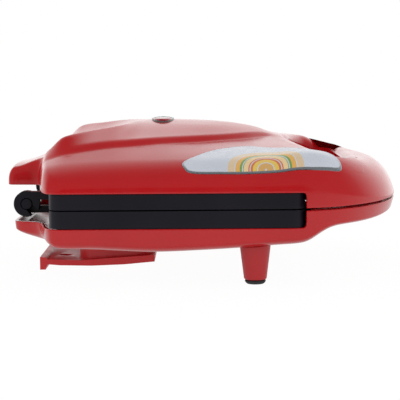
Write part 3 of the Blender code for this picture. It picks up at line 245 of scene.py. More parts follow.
def lid_surface(x, y):
    """Height of the lid's upper surface: crown, rear scoop, side band and shoulder, with soft creases."""
    read = [np.interp(x, fine_x, column) for column in lid_columns]
    centre, crest_y, crest, upper_y, upper, lower_y, lower, shoulder, side = read
    zero = np.zeros_like(x)
    ridged = smooth_step((crest - centre) / 0.05)
    middle = np.abs(y) / half_width
    soft = 0.003 + 0.007 * smooth_step(((upper_y + lower_y) / 2 - middle) / 0.03)
    share = zero
    for offset, weight in ((-2.0, 0.06), (-1.0, 0.24), (0.0, 0.4), (1.0, 0.24), (2.0, 0.06)):
        y = np.abs(middle + offset * soft)
        smooth = follow(
            y, np.stack([zero, crest_y, upper_y], axis=-1), np.stack([centre, crest, upper], axis=-1),
            level_start=True,
        )
        bowl = centre + (crest - centre) * (y / crest_y) ** 2
        flank = crest + (y - crest_y) * (upper - crest) / (upper_y - crest_y)
        panel = smooth * (1 - ridged) + np.where(y < crest_y, bowl, flank) * ridged
        band = upper + (y - upper_y) * (lower - upper) / (lower_y - upper_y)
        outer = follow(
            y, np.stack([lower_y, zero + shoulder_share, zero + 1.0], axis=-1),
            np.stack([lower, shoulder, side], axis=-1),
        )
        share = share + weight * np.where(y < upper_y, panel, np.where(y < lower_y, band, outer))
    return split_height + share * lid_height


def base_surface(x, y):
    """Height of the base's underside."""
    return np.interp(x, fine_x, base_columns[0]) * lower_rim + 0.0 * y


class Outline:
    """Half the plan of a shell from the middle of its rear to the nose, read by its length."""

    def __init__(self, rear_shares):
        rear = smooth_curve(rear_shares, 24) * (half_length, half_width)
        side = np.stack([np.linspace(rear[-1, 0], nose_centre, 300)[1:], np.full(299, half_width)], axis=1)
        angle = np.linspace(0.0, math.pi / 2, 500)[1:]
        nose = np.stack([nose_centre + nose_length * np.sin(angle), half_width * np.cos(angle)], axis=1)
        plan = np.concatenate([rear, side, nose])
        length = np.concatenate([[0.0], np.cumsum(np.linalg.norm(np.diff(plan, axis=0), axis=1))])
        self.step = length[-1] / 3000
        self.s = np.arange(3001) * self.step
        x = np.interp(self.s, length, plan[:, 0])
        y = np.interp(self.s, length, plan[:, 1])
        reach = 60
        x = np.concatenate([x[reach:0:-1], x, x[-2:-reach - 2:-1]])
        y = np.concatenate([-y[reach:0:-1], y, -y[-2:-reach - 2:-1]])
        self.x = blurred(x, 0.0012, self.step)[reach:-reach]
        self.y = blurred(y, 0.0012, self.step)[reach:-reach]
        along = np.stack([np.gradient(self.x), np.gradient(self.y)], axis=1)
        along /= np.linalg.norm(along, axis=1)[:, None]
        along[0] = (0.0, 1.0)
        along[-1] = (0.0, -1.0)
        self.out = np.stack([-along[:, 1], along[:, 0]], axis=1)

    def at(self, s, inset):
        """Plan points at lengths s, drawn in by inset."""
        s = np.clip(s, 0.0, self.s[-1])
        read = [np.interp(s, self.s, row) for row in (self.x, self.y, self.out[:, 0], self.out[:, 1])]
        return np.stack([read[0] - read[2] * inset, np.maximum(read[1] - read[3] * inset, 0.0)], axis=-1)

    def length_to(self, x, least_y=0.0):
        """Length at which the outline passes a place along X."""
        passed = np.nonzero((self.x >= x) & (self.y >= least_y))[0]
        return self.s[passed[0]]

    def distance(self, points, first, last):
        """Distance of plan points to a stretch of the outline, with the length of the nearest place."""
        chosen = (self.s >= first) & (self.s <= last)
        plan = np.stack([self.x, self.y], axis=1)[chosen][::3]
        lengths = self.s[chosen][::3]
        distances, places = [], []
        for part in np.array_split(points, max(1, len(points) // 4000)):
            part = np.stack([part[:, 0], np.abs(part[:, 1])], axis=1)
            gaps = ((part[:, None, :] - plan[None]) ** 2).sum(axis=2)
            nearest = gaps.argmin(axis=1)
            distances.append(np.sqrt(gaps[np.arange(len(part)), nearest]))
            places.append(lengths[nearest])
        return np.concatenate(distances), np.concatenate(places)


lid_outline = Outline(lid_rear_shares)
base_outline = Outline(base_rear_shares)
lid_corner = lid_outline.length_to(lid_rear_shares[-1][0] * half_length, 0.95 * half_width)


def rearward_share(x):
    """0 along the sides, 1 from the rear corner back."""
    corner = lid_rear_shares[-1][0] * half_length
    return smooth_step((rear_pole - x) / (rear_pole - corner - rear_rounding))


def swell(share):
    """Height of a border's roll over its width, upright at its foot and easing into the surface."""
    return np.sqrt(np.maximum(1 - (1 - np.clip(share, 0.0, 1.0)) ** 2.5, 0.0))


def lid_foot(x):
    onward = smooth_step((x - window_front) / (half_length - window_front))
    return side_foot + (upper_split + 2 * edge_radius - side_foot) * onward


def base_rounding(x):
    forward = np.clip((x - nose_centre) / nose_length, 0.0, 1.0)
    rounding = base_side_rounding + (base_nose_rounding - base_side_rounding) * smooth_step(forward * 2)
    return rounding - (base_side_rounding - base_rear_rounding) * rearward_share(x)


def base_foot(x):
    return np.minimum(np.interp(x, fine_x, base_columns[1]) * lower_rim, lower_split - 3 * edge_radius)


def lean_share(distance, width, lean):
    """How far a border has turned over, for a roll whose distance is width * (1 - cos a) + lean * sin a."""
    angle = np.arccos(1 - np.clip(distance / (width + lean), 0.0, 1.0))
    for _ in range(5):
        miss = width * (1 - np.cos(angle)) + lean * np.sin(angle) - distance
        slope = width * np.sin(angle) + lean * np.cos(angle) + 1e-6
        angle = np.clip(angle - miss / slope, 0.0, math.pi / 2)
    return 1 - np.cos(angle)


def lid_height_at(plan, side_distance, rear_distance, border_x):
    """Height of the lid at plan points from how far they are from its side and its rear border."""
    x, y = plan.T
    forward = np.clip((border_x - nose_centre) / nose_length, 0.0, 1.0)
    width = side_rounding + (nose_rounding - side_rounding) * smooth_step(forward)
    side_share = lean_share(side_distance, width, nose_lean * forward**2)
    roll = swell(side_share) * swell(rear_distance / rear_rounding)
    foot = lid_foot(border_x)
    return foot + (lid_surface(x, y) - foot) * roll


def lid_borders(points):
    """Distance of plan points to the side and nose, to the rear border, and the place along X they face."""
    x, y = points[:, 0], np.abs(points[:, 1])
    front_distance, front_s = lid_outline.distance(points, lid_corner, lid_outline.s[-1])
    rear_distance, _ = lid_outline.distance(points, 0.0, lid_corner)
    sideways = x < nose_centre
    side_distance = np.where(sideways, half_width - y, front_distance)
    border_x = np.where(sideways, x, np.interp(front_s, lid_outline.s, lid_outline.x))
    return side_distance, rear_distance, border_x


def lid_skin(points):
    """Height of the finished lid at plan points, its border rolled over."""
    return lid_height_at(points, *lid_borders(points))


hole_steps = 400
hole_rings = []
for shares in (hole_lower_shares, hole_upper_shares):
    ring = smooth_curve(shares, 40) * (half_length, half_width)
    length = np.concatenate([[0.0], np.cumsum(np.linalg.norm(np.diff(ring, axis=0), axis=1))])
    even = np.linspace(0.0, 1.0, hole_steps)
    ring = np.stack([np.interp(even, length / length[-1], ring[:, k]) for k in (0, 1)], axis=1)
    reach = 60
    rows = []
    for k, sign in ((0, 1), (1, -1)):
        row = np.concatenate([sign * ring[reach:0:-1, k], ring[:, k], sign * ring[-2:-reach - 2:-1, k]])
        rows.append(blurred(row, 0.0015, length[-1] / hole_steps)[reach:-reach])
    hole_rings.append(np.stack(rows, axis=1))


def hole_at(share, z, grow):
    """Points of the half ring of the hand hole at shares of its length, at heights z, grown outward."""
    rise = np.clip((z - split_height) / (hole_top - split_height), 0.0, 1.0)[:, None]
    even = np.linspace(0.0, 1.0, hole_steps)

    def read(place):
        lower, upper = (
            np.stack([np.interp(place, even, ring[:, k]) for k in (0, 1)], axis=1) for ring in hole_rings
        )
        return lower * (1 - rise) + upper * rise

    step = 1 / hole_steps
    along = read(np.minimum(share + step, 1.0)) - read(np.maximum(share - step, 0.0))
    along /= np.linalg.norm(along, axis=1)[:, None]
    along[0] = (0.0, 1.0)
    along[-1] = (0.0, -1.0)
    point = read(share) + np.stack([-along[:, 1], along[:, 0]], axis=1) * np.asarray(grow).reshape(-1, 1)
    point[:, 1] = np.maximum(point[:, 1], 0.0)
    return point


# Mesh tools


def new_object(name, shape, body, look, smooth=True):
    """Files a bmesh as a piece of a body with its material."""
    mesh = bpy.data.meshes.new(name)
    shape.to_mesh(mesh)
    shape.free()
    item = bpy.data.objects.new(name, mesh)
    bpy.context.scene.collection.objects.link(item)
    for one in look if isinstance(look, (list, tuple)) else [look]:
        mesh.materials.append(one)
    if smooth:
        mesh.shade_smooth()
    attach(item, body)
    return item


def rail_solid(rails, closed=True, material_rows=None):
    """A bmesh through rails of equally many points. Closed rails join end to end, and so do the rails."""
    shape = bmesh.new()
    rows = [[shape.verts.new(point) for point in rail] for rail in rails]
    count = len(rows[0])
    for number in range(len(rows) if closed else len(rows) - 1):
        row, after = rows[number], rows[(number + 1) % len(rows)]
        for i in range(count):
            j = (i + 1) % count
            face = shape.faces.new((row[i], row[j], after[j], after[i]))
            if material_rows:
                face.material_index = material_rows[number]
    return shape


def clean_outward(shape, weld=0.0000005):
    bmesh.ops.remove_doubles(shape, verts=shape.verts, dist=weld)
    bmesh.ops.recalc_face_normals(shape, faces=shape.faces)
    if shape.calc_volume(signed=True) < 0:
        bmesh.ops.reverse_faces(shape, faces=shape.faces)
    return shape


def mirrored_ring(points):
    """A closed ring from the half with y of 0 and more."""
    other = points[-2:0:-1] * (1, -1, 1)
    return np.concatenate([points, other])


def bevel(item, width, segments=3, angle=30.0):
    """Rounds the sharp edges of a piece."""
    step = item.modifiers.new("edges", "BEVEL")
    step.width = width
    step.segments = segments
    step.limit_method = "ANGLE"
    step.angle_limit = math.radians(angle)
    step.harden_normals = False
    item.data.shade_smooth()
    item.data.set_sharp_from_angle(angle=math.radians(angle))
    return item


# Materials


def new_material(name):
    made = bpy.data.materials.new(name)
    made.use_nodes = True
    nodes, links = made.node_tree.nodes, made.node_tree.links
    return made, nodes, links, nodes["Principled BSDF"]


def noise(nodes, links, scale, detail=2.0, stretch=(1.0, 1.0, 1.0)):
    """Noise in the object's own metres."""
    place = nodes.new("ShaderNodeTexCoord")
    mapping = nodes.new("ShaderNodeMapping")
    mapping.inputs["Scale"].default_value = stretch
    texture = nodes.new("ShaderNodeTexNoise")
    texture.inputs["Scale"].default_value = scale
    texture.inputs["Detail"].default_value = detail
    links.new(place.outputs["Object"], mapping.inputs["Vector"])
    links.new(mapping.outputs["Vector"], texture.inputs["Vector"])
    return texture.outputs["Fac"]


def spread(nodes, links, value, low, high):
    """Maps noise to a range."""
    node = nodes.new("ShaderNodeMapRange")
    node.inputs["From Min"].default_value = 0.3
    node.inputs["From Max"].default_value = 0.7
    node.inputs["To Min"].default_value = low
    node.inputs["To Max"].default_value = high
    links.new(value, node.inputs["Value"])
    return node.outputs["Result"]


def tinted(nodes, links, value, low, high):
    """A colour between two, by a value."""
    node = nodes.new("ShaderNodeMix")
    node.data_type = "RGBA"
    node.inputs["A"].default_value = (*low, 1.0)
    node.inputs["B"].default_value = (*high, 1.0)
    links.new(value, node.inputs["Factor"])
    return node.outputs["Result"]


def bumped(nodes, links, shader, value, distance, strength=1.0):
    node = nodes.new("ShaderNodeBump")
    node.inputs["Distance"].default_value = distance
    node.inputs["Strength"].default_value = strength
    links.new(value, node.inputs["Height"])
    links.new(node.outputs["Normal"], shader.inputs["Normal"])


def moulded(name, low, high, rough, grain, depth, coat=0.0, specular=0.5):
    """Moulded plastic or rubber: two close shades, uneven gloss and a fine grain."""
    made, nodes, links, shader = new_material(name)
    clouds = spread(nodes, links, noise(nodes, links, 28.0, 3.0), 0.0, 1.0)
    links.new(tinted(nodes, links, clouds, low, high), shader.inputs["Base Color"])
    links.new(spread(nodes, links, noise(nodes, links, 90.0, 4.0), *rough), shader.inputs["Roughness"])
    bumped(nodes, links, shader, noise(nodes, links, grain, 2.0), depth)
    shader.inputs["Coat Weight"].default_value = coat
    shader.inputs["Coat Roughness"].default_value = 0.06
    shader.inputs["Specular IOR Level"].default_value = specular
    return made


def metal(name, low, high, rough, stretch, depth):
    made, nodes, links, shader = new_material(name)
    lines = noise(nodes, links, 900.0, 3.0, stretch)
    links.new(tinted(nodes, links, lines, low, high), shader.inputs["Base Color"])
    links.new(spread(nodes, links, lines, *rough), shader.inputs["Roughness"])
    bumped(nodes, links, shader, lines, depth, 0.4)
    shader.inputs["Metallic"].default_value = 1.0
    return made


def coated_metal():
    """Dark non-stick coating with fine pale specks."""
    made, nodes, links, shader = new_material("non_stick")
    specks = nodes.new("ShaderNodeMapRange")
    specks.inputs["From Min"].default_value = 0.66
    specks.inputs["From Max"].default_value = 0.72
    links.new(noise(nodes, links, 900.0, 1.0), specks.inputs["Value"])
    colour = tinted(nodes, links, specks.outputs["Result"], (0.012, 0.012, 0.013), (0.07, 0.07, 0.075))
    links.new(colour, shader.inputs["Base Color"])
    links.new(spread(nodes, links, noise(nodes, links, 160.0, 4.0), 0.34, 0.5), shader.inputs["Roughness"])
    bumped(nodes, links, shader, noise(nodes, links, 1400.0, 2.0), 0.00003)
    return made


def clear_colour(name, colour, ribs):
    """Tinted clear plastic with fine moulded ribs, its colour darkened in the rib grooves as painted shade.
    """
    made, nodes, links, shader = new_material(name)
    place = nodes.new("ShaderNodeTexCoord")
    wave = nodes.new("ShaderNodeTexWave")
    wave.bands_direction = "Y"
    wave.inputs["Scale"].default_value = ribs
    wave.inputs["Distortion"].default_value = 0.0
    links.new(place.outputs["Object"], wave.inputs["Vector"])
    # Painted shade: the colour darkens to 55 % where the wave that raises the ribs is low, in the rib
    # grooves.
    painted_groove_shade = tuple(value * 0.55 for value in colour)
    links.new(tinted(nodes, links, wave.outputs["Fac"], painted_groove_shade, colour), shader.inputs["Base Color"])
    bumped(nodes, links, shader, wave.outputs["Fac"], 0.00004)
    shader.inputs["Roughness"].default_value = 0.06
    shader.inputs["Transmission Weight"].default_value = 0.35
    shader.inputs["IOR"].default_value = 1.49
    return made


def label_field():
    """Printed film: a pale lavender ground with a fan of striped arcs in warm colours."""
    made, nodes, links, shader = new_material("label_field")
    place = nodes.new("ShaderNodeTexCoord")
    split = nodes.new("ShaderNodeSeparateXYZ")
    links.new(place.outputs["Object"], split.inputs["Vector"])

    def calculate(operation, first, second=None, third=None):
        node = nodes.new("ShaderNodeMath")
        node.operation = operation
        for socket, value in zip(node.inputs, (first, second, third)):
            if value is None:
                continue
            if isinstance(value, (int, float)):
                socket.default_value = value
            else:
                links.new(value, socket)
        return node.outputs[0]

    ground = tinted(nodes, links, noise(nodes, links, 60.0, 3.0), (0.50, 0.53, 0.60), (0.60, 0.63, 0.70))
    fan_x, fan_y = 0.0372, -0.1075
    x = calculate("SUBTRACT", split.outputs["X"], fan_x)
    y = calculate("SUBTRACT", split.outputs["Y"], fan_y)
    radius = calculate("SQRT", calculate("ADD", calculate("MULTIPLY", x, x), calculate("MULTIPLY", y, y)))
    ramp = nodes.new("ShaderNodeValToRGB")
    ramp.color_ramp.interpolation = "CONSTANT"
    stripes = (
        (0.0, (0.62, 0.36, 0.12)), (0.20, (0.72, 0.50, 0.10)), (0.34, (0.60, 0.16, 0.05)),
        (0.46, (0.76, 0.56, 0.30)), (0.58, (0.18, 0.32, 0.08)), (0.68, (0.72, 0.40, 0.10)),
        (0.82, (0.66, 0.50, 0.32)),
    )
    while len(ramp.color_ramp.elements) < len(stripes):
        ramp.color_ramp.elements.new(1.0)
    for element, (position, colour) in zip(ramp.color_ramp.elements, stripes):
        element.position = position
        element.color = (*colour, 1.0)
    fan_reach = 0.0225
    links.new(calculate("DIVIDE", radius, fan_reach), ramp.inputs["Fac"])
    inside = calculate("LESS_THAN", radius, fan_reach)
    gaps = calculate("GREATER_THAN", calculate("FRACT", calculate("DIVIDE", radius, 0.0045)), 0.14)
    mixed = nodes.new("ShaderNodeMix")
    mixed.data_type = "RGBA"
    links.new(calculate("MULTIPLY", inside, gaps), mixed.inputs["Factor"])
    links.new(ground, mixed.inputs["A"])
    links.new(ramp.outputs["Color"], mixed.inputs["B"])
    links.new(mixed.outputs["Result"], shader.inputs["Base Color"])
    links.new(spread(nodes, links, noise(nodes, links, 200.0, 2.0), 0.22, 0.34), shader.inputs["Roughness"])
    return made


looks = {
    "red": moulded(
        "red_gloss", (0.430, 0.0050, 0.0075), (0.455, 0.0060, 0.0088), (0.13, 0.19), 1300.0, 0.0000012,
    ),
    "red_base": moulded(
        "red_foot", (0.520, 0.0075, 0.012), (0.565, 0.0095, 0.015), (0.28, 0.38), 900.0, 0.000006,
    ),
    "red_leg": moulded(
        "red_leg", (0.400, 0.008, 0.011), (0.430, 0.010, 0.013), (0.30, 0.40), 900.0, 0.000006,
    ),
    "black": moulded(
        "black_frame", (0.0065, 0.0055, 0.0105), (0.0090, 0.0078, 0.0140), (0.32, 0.44), 1600.0, 0.000008,
        specular=0.22,
    ),
    "bezel": moulded("bezel_rim", (0.070, 0.100, 0.095), (0.090, 0.120, 0.115), (0.2, 0.3), 900.0, 0.000003),
    "rubber": moulded("rubber", (0.012, 0.012, 0.013), (0.022, 0.022, 0.023), (0.6, 0.8), 700.0, 0.00004),
    "cream": moulded("ceramic", (0.62, 0.58, 0.50), (0.72, 0.68, 0.60), (0.5, 0.65), 800.0, 0.00002),
    "coated": coated_metal(),
    "steel": metal("steel", (0.48, 0.48, 0.48), (0.62, 0.62, 0.62), (0.22, 0.38), (1.0, 1.0, 0.1), 0.00001),
    "bright": metal(
        "bright_sheet", (0.70, 0.70, 0.71), (0.80, 0.80, 0.81), (0.25, 0.4), (0.05, 1.0, 1.0), 0.00001,
    ),
    "silver_film": metal(
        "silver_film", (0.42, 0.46, 0.50), (0.50, 0.54, 0.58), (0.25, 0.35), (1.0, 1.0, 1.0), 0.000004,
    ),
    "red_lens": clear_colour("red_lens_plastic", (0.62, 0.02, 0.05), 260.0),
    "green_lens": clear_colour("green_lens_plastic", (0.03, 0.20, 0.13), 260.0),
    "label": label_field(),
}


# Shells


def bottom_path(outline, levels, corner_length, level_before, level_after, corner):
    """Length and height of a shell's free edge for each column, with the window's corner worked in."""
    before, after = 0.007, 0.005
    lead = [(corner_length - before, level_before)]
    drop = level_after - level_before
    steps = 6
    for step in range(steps + 1):
        angle = math.pi / 2 * step / steps
        lead.append((
            corner_length - corner + corner * math.sin(angle),
            level_before + math.copysign(corner, drop) * (1 - math.cos(angle)),
        ))
    lead += [(corner_length, level_after), (corner_length + after, level_after)]
    lead = np.array(lead)
    length = np.concatenate([[0.0], np.cumsum(np.linalg.norm(np.diff(lead, axis=0), axis=1))])
    dense = 44
    inner = np.linspace(corner_length - before, corner_length + after, dense + 1)
    share = np.linspace(0.0, length[-1], dense + 1)
    inner_path = np.stack([np.interp(share, length, lead[:, k]) for k in (0, 1)], axis=1)
    rear_count = int((half_columns - dense) * inner[0] / outline.s[-1])
    rear = np.linspace(0.0, inner[0], rear_count + 1)[:-1]
    front = np.linspace(inner[-1], outline.s[-1], half_columns - dense - rear_count + 1)[1:]
    top = np.concatenate([rear, inner, front])
    path_s = np.concatenate([rear, inner_path[:, 0], front])
    path_z = np.concatenate([levels(rear), inner_path[:, 1], np.full(len(front), level_after)])
    return top, path_s, path_z


def hole_shares(outline, s):
    """Which share of the hole's ring each column runs to."""
    anchors = (
        (0.0, 0.0), (outline.length_to(-0.0975, 0.070), 0.14), (outline.length_to(-0.085, 0.11), 0.20),
        (outline.length_to(-0.04, 0.1), 0.27), (outline.length_to(0.0, 0.1), 0.36),
        (outline.length_to(0.03, 0.1), 0.46), (outline.length_to(nose_centre, 0.05), 0.55),
        (outline.length_to(0.09, 0.02), 0.67), (outline.s[-1], 1.0),
    )
    places, shares = np.array(anchors).T
    size = (len(s), len(places))
    return follow(s, np.broadcast_to(places, size), np.broadcast_to(shares, size))


def shell(name, upper, rows, look):
    """A closed moulded shell, skin, free edge, inner wall and the wall of the hand hole in one mesh."""
    sign = 1 if upper else -1
    outline = lid_outline if upper else base_outline
    split = upper_split if upper else lower_split
    rear_level = upper_skirt if upper else lower_rim
    draft = 0.0 if upper else base_draft

    def levels(s):
        x = np.interp(s, outline.s, outline.x)
        if not upper:
            return np.full(len(s), lower_rim)
        return tail_under + (upper_skirt - tail_under) * smooth_step((x - tail_root + 0.0008) / 0.0016)

    corner_length = outline.length_to(window_front, 0.05)
    top_s, edge_s, edge_z = bottom_path(outline, levels, corner_length, rear_level, split, window_corner)
    edge_x = np.interp(top_s, outline.s, outline.x)
    behind = top_s < lid_corner
    foot = lid_foot(edge_x) if upper else base_foot(edge_x)
    shares = hole_shares(outline, top_s)
    reach = np.interp(edge_x, (-0.09, -0.03), (rear_rounding, 0.009)) if upper else base_rounding(edge_x)
    turns = np.linspace(0.0, 1.0, roll_rows + 1)

    def border_rail(turn):
        """One line round the border, turned from its foot, 0, to the end of its reach, 1."""
        if upper:
            inset = reach * turn**2
            plan = outline.at(top_s, inset)
            _, far_rear, _ = lid_borders(plan)
            side = np.where(behind, half_width - plan[:, 1], inset)
            rear = np.where(behind, inset, far_rear)
            return plan, lid_height_at(plan, side, rear, edge_x)
        angle = math.pi / 2 * turn
        plan = outline.at(top_s, draft + reach * (1 - math.cos(angle)))
        return plan, foot + (base_surface(*plan.T) - foot) * math.sin(angle)

    def skin(plan):
        return lid_skin(plan) if upper else base_surface(*plan.T)

    roll_places, widths, depths = np.array(hole_roll_shares).T
    if upper:
        roll_width = np.interp(shares, roll_places, widths)
        roll_depth = np.interp(shares, roll_places, depths)
    else:
        roll_width = roll_depth = np.full(len(shares), base_hole_roll)
    rim_z = skin(hole_at(shares, np.full(len(shares), hole_top if upper else 0.0), roll_width))
    for _ in range(3):
        rim_z = skin(hole_at(shares, rim_z, roll_width))
    rails = []

    # Hole wall, from the split to the rim, and the roll over the rim
    low = rim_z - sign * roll_depth
    for share in (0.0, 0.15, 0.35, 0.6, 0.85):
        z = split + (low - split) * share
        rails.append(np.column_stack([hole_at(shares, z, 0.0), z]))
    for step in range(11):
        angle = math.pi / 2 * step / 10
        z = rim_z - sign * roll_depth * (1 - math.sin(angle))
        rails.append(np.column_stack([hole_at(shares, z, roll_width * (1 - math.cos(angle))), z]))

    # Skin, from the rim to the border, then over the border to its foot
    rim_plan = rails[-1][:, :2]
    inner_plan = border_rail(1.0)[0]
    for row in range(1, rows):
        share = 1 - (1 - row / rows) ** 1.3
        plan = rim_plan * (1 - share) + inner_plan * share
        rails.append(np.column_stack([plan, skin(plan)]))
    for turn in turns[::-1]:
        rails.append(np.column_stack(border_rail(turn)))

    # Wall down to the free edge, its rounded edge, and back up inside
    along = np.gradient(np.stack([edge_s, edge_z], axis=1), axis=0)
    along /= np.maximum(np.linalg.norm(along, axis=1), 1e-9)[:, None]
    into = np.stack([-along[:, 1], along[:, 0]], axis=1) * sign
    start_s, start_z = edge_s + into[:, 0] * edge_radius, edge_z + into[:, 1] * edge_radius
    for share in (0.2, 0.45, 0.7, 0.9, 1.0):
        s = top_s + (start_s - top_s) * share
        z = foot + (start_z - foot) * share
        inset = draft * np.clip((split - z) / (split - foot), 0.0, 1.0) if draft else 0.0
        rails.append(np.column_stack([outline.at(s, inset), z]))
    for step in range(1, 5):
        angle = math.pi / 2 * step / 4
        lift = edge_radius * (1 - math.sin(angle))
        tucked = inset + edge_radius * (1 - math.cos(angle))
        plan = outline.at(edge_s + into[:, 0] * lift, tucked)
        rails.append(np.column_stack([plan, edge_z + into[:, 1] * lift]))
    rails.append(np.column_stack([outline.at(edge_s, wall * 0.8 + inset), edge_z]))
    lift = into * wall * 0.2
    rails.append(np.column_stack([outline.at(edge_s + lift[:, 0], wall + inset), edge_z + lift[:, 1]]))
    for step in range(4):
        inset = wall + draft + (reach - wall) * step / 3
        plan = outline.at(top_s, inset)
        if upper:
            _, far_rear, _ = lid_borders(plan)
            side = np.where(behind, half_width - plan[:, 1], inset)
            z = lid_height_at(plan, side, np.where(behind, inset, far_rear), edge_x) - wall
        else:
            angle = np.arccos(1 - np.clip((inset - draft) / reach, 0.0, 1.0))
            z = foot + (base_surface(*plan.T) - foot) * np.sin(angle) + wall
        rails.append(np.column_stack([plan, z]))
    inner_plan = rails[-1][:, :2]
    hole_inner = hole_at(shares, low, roll_width + wall)
    inner_rows = rows // 4
    for row in range(1, inner_rows + 1):
        share = row / inner_rows
        plan = inner_plan * (1 - share) + hole_inner * share
        rails.append(np.column_stack([plan, skin(plan) - sign * wall]))
    for share in (0.9, 0.6, 0.3, 0.0):
        z = split + (low - split) * share
        rails.append(np.column_stack([hole_at(shares, z, wall), z]))

    shape = rail_solid([mirrored_ring(rail) for rail in rails])
    bmesh.ops.recalc_face_normals(shape, faces=shape.faces)
    if shape.calc_volume(signed=True) < 0:
        bmesh.ops.reverse_faces(shape, faces=shape.faces)
    return new_object(name, shape, "lid" if upper else "base", look)


upper_shell = shell("upper_shell", True, lid_rows, looks["red"])
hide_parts("upper_housing")
lower_shell = shell("lower_shell", False, base_rows, looks["red"])
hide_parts("lower_housing")


# Pieces with softened edges, made from the solids


def softened(node_name, width, body, look, angle=28.0):
    """A piece with the solid's form, its flat faces made whole and its edges rounded."""
    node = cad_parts[node_name]
    shape = bmesh.new()
    shape.from_mesh(node.data)
    shape.transform(node.matrix_world)
    bmesh.ops.remove_doubles(shape, verts=shape.verts, dist=0.000001)
    bmesh.ops.dissolve_limit(
        shape, angle_limit=math.radians(0.6), verts=shape.verts, edges=shape.edges, delimit={"NORMAL"}
    )
    item = new_object(node_name + "_soft", shape, body, look)
    bevel(item, width, 3, angle)
    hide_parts(node_name)
    return item


softened("upper_plate_frame", 0.0007, "lid", looks["black"])
softened("lower_plate_frame", 0.0007, "base", looks["black"])
for side in ("left", "right"):
    softened("hinge_pin_" + side, 0.0005, "base", looks["black"])
    softened("front_foot_" + side, 0.0008, "base", looks["red_leg"])
    softened("front_pad_" + side, 0.0004, "base", looks["rubber"])
softened("cord_wrap_base", 0.0008, "base", looks["red_base"])


# Label on the near shoulder

label_shares = (
    (-0.092, 0.870), (-0.088, 0.912), (-0.050, 0.945), (0.090, 0.951), (0.227, 0.952), (0.459, 0.945),
    (0.560, 0.925), (0.645, 0.875), (0.658, 0.830), (0.619, 0.783), (0.467, 0.713), (0.355, 0.625),
    (0.275, 0.578), (0.211, 0.568), (0.099, 0.635), (0.011, 0.730), (-0.045, 0.809),
)
label_spine = ((0.004, -0.0985), (0.066, -0.0985))
label_border = 0.0011
label_proud = 0.00045
label_sunk = 0.0003
label_rows = 16


def ring_inward(ring, inset):
    """A closed clockwise or counter-clockwise ring drawn in by an inset."""
    along = np.roll(ring, -1, axis=0) - np.roll(ring, 1, axis=0)
    along /= np.linalg.norm(along, axis=1)[:, None]
    out = np.stack([along[:, 1], -along[:, 0]], axis=1)
    middle = ring.mean(axis=0)
    turned = 1.0 if ((ring - middle) * out).sum() > 0 else -1.0
    return ring - turned * out * inset


def make_label():
    """Printed film with a silver border that lies on the skin."""
    rough = np.array(label_shares) * (half_length, -half_width)
    closed = smooth_curve(np.concatenate([rough[-2:], rough, rough[:3]]), 14)[2 * 14:]
    ring = closed[:len(rough) * 14]
    first, last = np.array(label_spine)
    share = np.clip(((ring - first) @ (last - first)) / ((last - first) @ (last - first)), 0.0, 1.0)
    core = first + share[:, None] * (last - first)
    steps = [(ring_inward(ring, inset), lift) for inset, lift in (
        (0.0, 0.0), (0.00005, 0.7 * label_proud), (0.0002, label_proud), (label_border, label_proud),
        (1.15 * label_border, 0.9 * label_proud),
    )]
    inner = steps[-1][0]
    for row in range(1, label_rows + 1):
        steps.append((inner + (core - inner) * row / label_rows, 0.9 * label_proud))
    tops = [np.column_stack([plan, lid_skin(plan) + lift]) for plan, lift in steps]
    unders = [np.column_stack([plan, lid_skin(plan) - label_sunk]) for plan, _ in steps]
    rails = unders[::-1] + tops
    materials_of_rows = [0] * (len(unders) + 3) + [1] * (len(tops) + 1)
    shape = rail_solid(rails, closed=False, material_rows=materials_of_rows)
    clean_outward(shape, 0.000002)
    label = new_object("label_piece", shape, "lid", [looks["silver_film"], looks["label"]])
    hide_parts("side_label")


make_label()


# Lenses of the indicator

lens_share = 0.88
lens_rise = 0.0009
lens_drop = 0.0030
lens_split_share = 0.16


def make_lens(name, node, towards, look):
    """Half of an oval dome, towards the near side, -1, or the far one, 1."""
    low, high = (np.array(corner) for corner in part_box("indicator_bezel"))
    middle, reach = (low + high) / 2, (high - low) / 2 * lens_share
    rows = []
    edge = lens_split_share * reach[1]
    for turn in (None, 0.0, 0.2, 0.4, 0.6, 0.8, 1.0):
        angle = math.pi / 2 * (turn or 0.0)
        size = math.cos(angle)
        z = high[2] - lens_rise * 0.4 + lens_rise * math.sin(angle) - (lens_drop if turn is None else 0.0)
        row = []
        for step in range(41):
            around = math.pi * step / 40
            y = edge + (reach[1] - edge) * math.sin(around) * size
            row.append((middle[0] + reach[0] * math.cos(around) * size, middle[1] + towards * y, z))
        rows.append(row)
    shape = rail_solid(rows, closed=False)
    shape.verts.ensure_lookup_table()
    shape.faces.new([shape.verts[i] for i in range(41)])
    clean_outward(shape)
    lens = new_object(name, shape, "lid", look)
    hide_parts(node)


make_lens("near_lens", "red_lens", -1, looks["red_lens"])
make_lens("far_lens", "green_lens", 1, looks["green_lens"])


# CAD nodes that keep their shape

carried = {
    "steel": ("lower_heating_element", "upper_heating_element", "thermostat"),
    "bright": ("lower_heat_reflector", "upper_heat_reflector"),
    "coated": ("lower_cooking_plate", "upper_cooking_plate"),
    "cream": ("lamp_holder", "terminal_block", "thermal_fuse"),
    "red": ("upper_handle_cover", "lower_handle_cover", "upper_grip_liner"),
    "black": ("upper_plate_frame", "lower_plate_frame", "hinge_pin_left", "hinge_pin_right", "cord_gland"),
    "rubber": ("front_pad_left", "front_pad_right", "rear_pad_1", "rear_pad_2"),
    "red_base": ("cord_wrap_base",),
    "red_leg": ("front_foot_left", "front_foot_right"),
    "bezel": ("indicator_bezel",),
    "red_lens": ("red_lamp",),
    "green_lens": ("green_lamp",),
}
screws = [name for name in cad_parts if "screw" in name]
for look, names in list(carried.items()) + [("steel", screws)]:
    for name in names:
        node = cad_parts[name]
        node.data.materials.clear()
        node.data.materials.append(looks[look])


# Camera, world, floor and light

photo_width = 400
lens_pixels = 1445.9
camera_place = (-0.0016, -0.952, 0.1383)
camera_pitch = 5.801
camera_roll = -0.404


